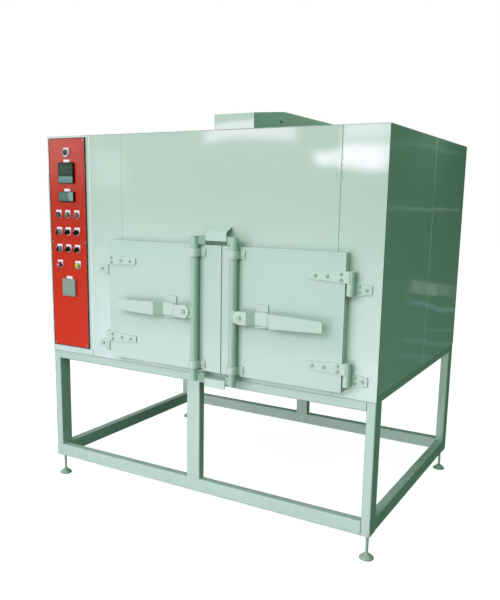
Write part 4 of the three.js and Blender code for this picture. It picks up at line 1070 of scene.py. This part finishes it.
    def add_meters(self) -> None:
        """Windows, digits, keypads, keys and divider of the controller and the timer."""
        upper, lower, across = self.controller_z, self.timer_z, 31.5
        window, pad, digit, key = (2.2, -0.5), (2.2, -0.4), (-0.3, -0.7), (-0.2, -1.3)
        dark, grey, keypad, keys = "black_plastic", "grey_plastic", Finish.KEYPAD, Finish.TIMER_KEYS
        display, glass, small = Finish.DISPLAY, Finish.TIMER_WINDOW, (1, 0.1)
        sharp, round_edge = (1.6, 0.3), (1.6, 0.5)
        parts = [
            ("controller_window", -1, upper + 14.5, (89, 59), window, (2, 0.4), display, dark),
            ("controller_keypad", -1, upper - 30.5, (89, 29), pad, sharp, keypad, grey),
            ("timer_window", -15.5, lower, (60, 41), window, (1.6, 0.4), glass, grey),
            ("timer_keypad", across, lower, (24, 41), pad, sharp, keys, grey),
            ("timer_divider", 16.5, lower + 4, (4, 30), (0.2, -0.9), (1, 0.2), Finish.PALE, grey),
            ("timer_key_1", across, lower - 9.5, (15, 9), key, round_edge, keys, grey),
            ("timer_key_2", across, lower + 8.5, (15, 9), key, round_edge, keys, grey),
        ]
        for k in range(1, 5):
            for row, lift in (1, 26), (2, 4):
                name, x, z = f"digit_{row}_{k}", 18 * k - 45, upper + lift
                parts.append((name, x, z, (10, 14), digit, small, Finish.DIGITS, dark))
            name, x, z = f"controller_key_{k}", 19.5 * k - 49.5, upper - 30.5
            parts.append((name, x, z, (13, 9), key, round_edge, keypad, grey))
        for name, x, z, size, (back, front), edge, finish, slot in parts:
            depth = self.meter_face + back, self.meter_face + front
            self.piece(name, self.tablet(self.centre + x, z, size, depth, edge), finish, slot)


# ---- studio


@dataclass
class Studio:
    """Floor, soft lights and camera."""

    eye: Point = (1.6739, -3.0187, 1.4289)
    yaw: float = 30.193
    pitch: float = 10.278
    roll: float = 0.941
    focal_px: float = 685.48
    principal: Pair = (241.67, 323.37)
    picture: tuple[int, int] = (500, 600)
    sensor: float = 36.0
    window_wall: float = -6.0
    side_wall: float = 6.0

    def floor(self) -> None:
        """A plain pale floor."""
        mesh = bmesh.new()
        bmesh.ops.create_grid(mesh, x_segments=1, y_segments=1, size=30.0)
        data = bpy.data.meshes.new("studio_floor")
        mesh.to_mesh(data)
        mesh.free()
        bench = Bench(bpy.data.materials.new("studio_floor"))
        clouds = bench.noise(bench.place(), 3.0, 3)
        tone = bench.between(shade("fbfbfb"), shade("f6f6f6"), clouds)
        data.materials.append(bench.finish({
            "Base Color": tone * 0.34, "Roughness": 0.9, "Specular IOR Level": 0.1,
            "Emission Color": tone, "Emission Strength": 0.95,
        }))
        plane = bpy.data.objects.new("studio_floor", data)
        plane.visible_diffuse = False
        plane.visible_glossy = False
        bpy.context.scene.collection.objects.link(plane)

    def world(self) -> None:
        """White surround for the eye; for the oven, soft light from above the front left."""
        world = bpy.data.worlds.new("studio_world")
        bpy.context.scene.world = world
        bench = Bench(world)
        x, y, z = bench.parts(bench.node("TexCoord", output="Generated"))
        lit = bench.step(x * -0.42 + y * -0.8 + z * 0.65, -0.35, 0.8)
        colour = bench.between((0.05, 0.14, 0.065), (0.78, 0.97, 0.88), lit)
        soft, plain = (
            bench.node("Background", inputs={"Color": tone, "Strength": strength})
            for tone, strength in ((colour, 0.75), ((1, 1, 1), 1.0))
        )
        seen = bench.node("LightPath", output="Is Camera Ray")
        both = bench.node("MixShader", inputs={0: seen, 1: soft, 2: plain})
        bench.node("OutputWorld", inputs={"Surface": both})

    @staticmethod
    def aimed(place: Point, target: Point) -> Matrix:
        """The pose of a light that stands at a place and shines at a target."""
        turn = (Vector(target) - Vector(place)).to_track_quat("-Z", "Y").to_matrix()
        return Matrix.Translation(place) @ turn.to_4x4()

    @staticmethod
    def box_light(
        name: str, pose: Matrix, size: Pair, power: float, tone: Shade,
        mirrored: bool = False,
    ) -> None:
        """A rectangular light, unseen by the camera.

        Args:
            name: The light's name.
            pose: Where it stands; it shines along its own -Z.
            size: Its width and height in metres.
            power: Its power in watts.
            tone: Its colour.
            mirrored: Whether the gloss of the paint shows it.
        """
        data = bpy.data.lights.new(name, "AREA")
        data.shape = "RECTANGLE"
        data.size, data.size_y = size
        data.energy = power
        data.color = tone
        thing = bpy.data.objects.new(name, data)
        thing.matrix_world = pose
        thing.visible_camera = False
        thing.visible_glossy = mirrored
        bpy.context.scene.collection.objects.link(thing)

    def card(self, name: str, pose: Matrix, size: Pair, glow: float, tone: Shade) -> None:
        """A rectangular light of some brightness that the gloss paint mirrors."""
        power = glow * math.pi * size[0] * size[1]
        self.box_light(name, pose, size, power, tone, True)

    def lamps(self) -> None:
        """Key light from the front left, and fills for the front, the top and the right side."""
        for name, place, target, size, power, tone in (
            ("key_light", (-7.9, -12.2, 8.2), (0, -0.4, 0.9), 5.1, 590.0, (1, 0.755, 0.99)),
            ("top_light", (-0.6, -0.6, 5.0), (0, 0, 0.8), 3.0, 26.0, (1, 0.94, 1)),
            ("side_fill", (2.8, -2.7, 3.4), (0.85, -0.2, 1.2), 2.0, 22.5, (0.36, 1, 0.52)),
            ("front_fill", (-0.3, -7.2, 4.6), (0, -0.4, 0.9), 3.0, 228.0, (0.92, 0.83, 0.91)),
            ("roof_glow", (0.75, 0.1, 2.1), (0.3, -0.2, 1.75), 0.8, 1.0, (0.8, 1, 0.88)),
        ):
            self.box_light(name, self.aimed(place, target), (size, size), power, tone)

    def windows(self) -> None:
        """Bright cards in front, each between two edges across and two edges up."""
        for name, x, z, glow, tone in (
            ("window_right", (-1.54, -0.97), (1.83, 2.11), 12.0, (1, 0.76, 0.98)),
            ("window_above", (-1.54, -0.98), (2.16, 2.36), 7.0, (0.92, 0.82, 1)),
            ("window_middle", (-1.95, -1.57), (1.86, 2.05), 10.0, (1, 0.8, 1)),
            ("window_top", (-3.5, -2.2), (2.18, 2.4), 6.5, (0.95, 0.72, 1)),
            ("window_left", (-5.48, -4.82), (1.53, 2.1), 1.2, (1, 0.9, 1.05)),
            ("window_far", (-7.2, -5.7), (1.75, 2.7), 6.0, (0.9, 1, 1)),
            ("bright_floor", (-5.4, 0.5), (-3.0, -0.5), 2.2, (1, 0.93, 1)),
            ("bright_haze", (-5.4, 0.6), (-0.5, 0.7), 0.8, (1, 0.93, 1)),
        ):
            across, up = sum(x) / 2, sum(z) / 2
            pose = self.aimed((across, self.window_wall, up), (across, 0.0, up))
            self.card(name, pose, (x[1] - x[0], z[1] - z[0]), glow, tone)

    def side_cards(self) -> None:
        """Faint strips far off on the right, each from one y and z to another, and as wide."""
        back = Vector((1, 0, 0))
        for name, near, far, width, glow, tone in (
            ("side_patch", (17.9, -1.19), (21.7, -1.63), 0.4, 0.35, (0.9, 1, 0.95)),
            ("side_streak_1", (17.6, -1.57), (23.4, -2.65), 0.14, 0.35, (0.35, 0.75, 1)),
            ("side_streak_2", (18.9, -2.6), (22.5, -3.26), 0.1, 0.15, (0.5, 0.9, 1)),
            ("side_streak_3", (17.6, -2.75), (23.0, -3.9), 0.16, 0.2, (0.4, 0.8, 1)),
            ("side_streak_4", (16.5, -3.0), (21.6, -4.2), 0.16, 0.14, (0.4, 0.8, 1)),
            ("side_line_1", (15.4, 3.0), (22.4, 3.12), 0.06, 0.25, (0.8, 1, 0.9)),
            ("side_line_2", (15.2, 1.28), (22.8, 1.12), 0.07, 0.3, (0.8, 1, 0.9)),
        ):
            start, end = Vector((self.side_wall, *near)), Vector((self.side_wall, *far))
            along = (end - start).normalized()
            turn = Matrix((along, back.cross(along), back)).transposed().to_4x4()
            pose = Matrix.Translation((start + end) / 2) @ turn
            self.card(name, pose, ((end - start).length, width), glow, tone)

    def camera(self) -> None:
        """The camera, at the photograph's viewing angle."""
        yaw, pitch, roll = (math.radians(v) for v in (self.yaw, self.pitch, self.roll))
        level = math.cos(pitch)
        ahead = Vector((-math.sin(yaw) * level, math.cos(yaw) * level, -math.sin(pitch)))
        across = Vector((math.cos(yaw), math.sin(yaw), 0.0))
        over = across.cross(ahead)
        right = across * math.cos(roll) + over * math.sin(roll)
        up = over * math.cos(roll) - across * math.sin(roll)
        data = bpy.data.cameras.new("camera")
        long_side = max(self.picture)
        data.sensor_width = self.sensor
        data.lens = self.focal_px / long_side * self.sensor
        data.shift_x = (self.picture[0] / 2 - self.principal[0]) / long_side
        data.shift_y = (self.principal[1] - self.picture[1] / 2) / long_side
        data.clip_end = 200.0
        thing = bpy.data.objects.new("camera", data)
        turn = Matrix((right, up, -ahead)).transposed().to_4x4()
        thing.matrix_world = Matrix.Translation(self.eye) @ turn
        bpy.context.scene.collection.objects.link(thing)
        bpy.context.scene.camera = thing

    def build(self) -> None:
        """Set up the whole studio."""
        bpy.context.scene.view_settings.view_transform = "Standard"
        self.floor()
        self.world()
        self.lamps()
        self.windows()
        self.side_cards()
        self.camera()


def main() -> None:
    """Build the studio, then each sub-assembly, and report the pieces."""
    logging.basicConfig(level=logging.INFO, format="%(name)s: %(message)s")
    Studio().build()
    for assembly in (Stand(), Cabinet(), Doors(), LockGear(), Chamber(), ControlPanel()):
        assembly.dress()
        assembly.build()
        kind = type(assembly).__name__
        for thing in assembly.made:
            log.info("%s: %s, %d faces", kind, thing.name, len(thing.data.polygons))


if __name__ == "__main__":
    main()
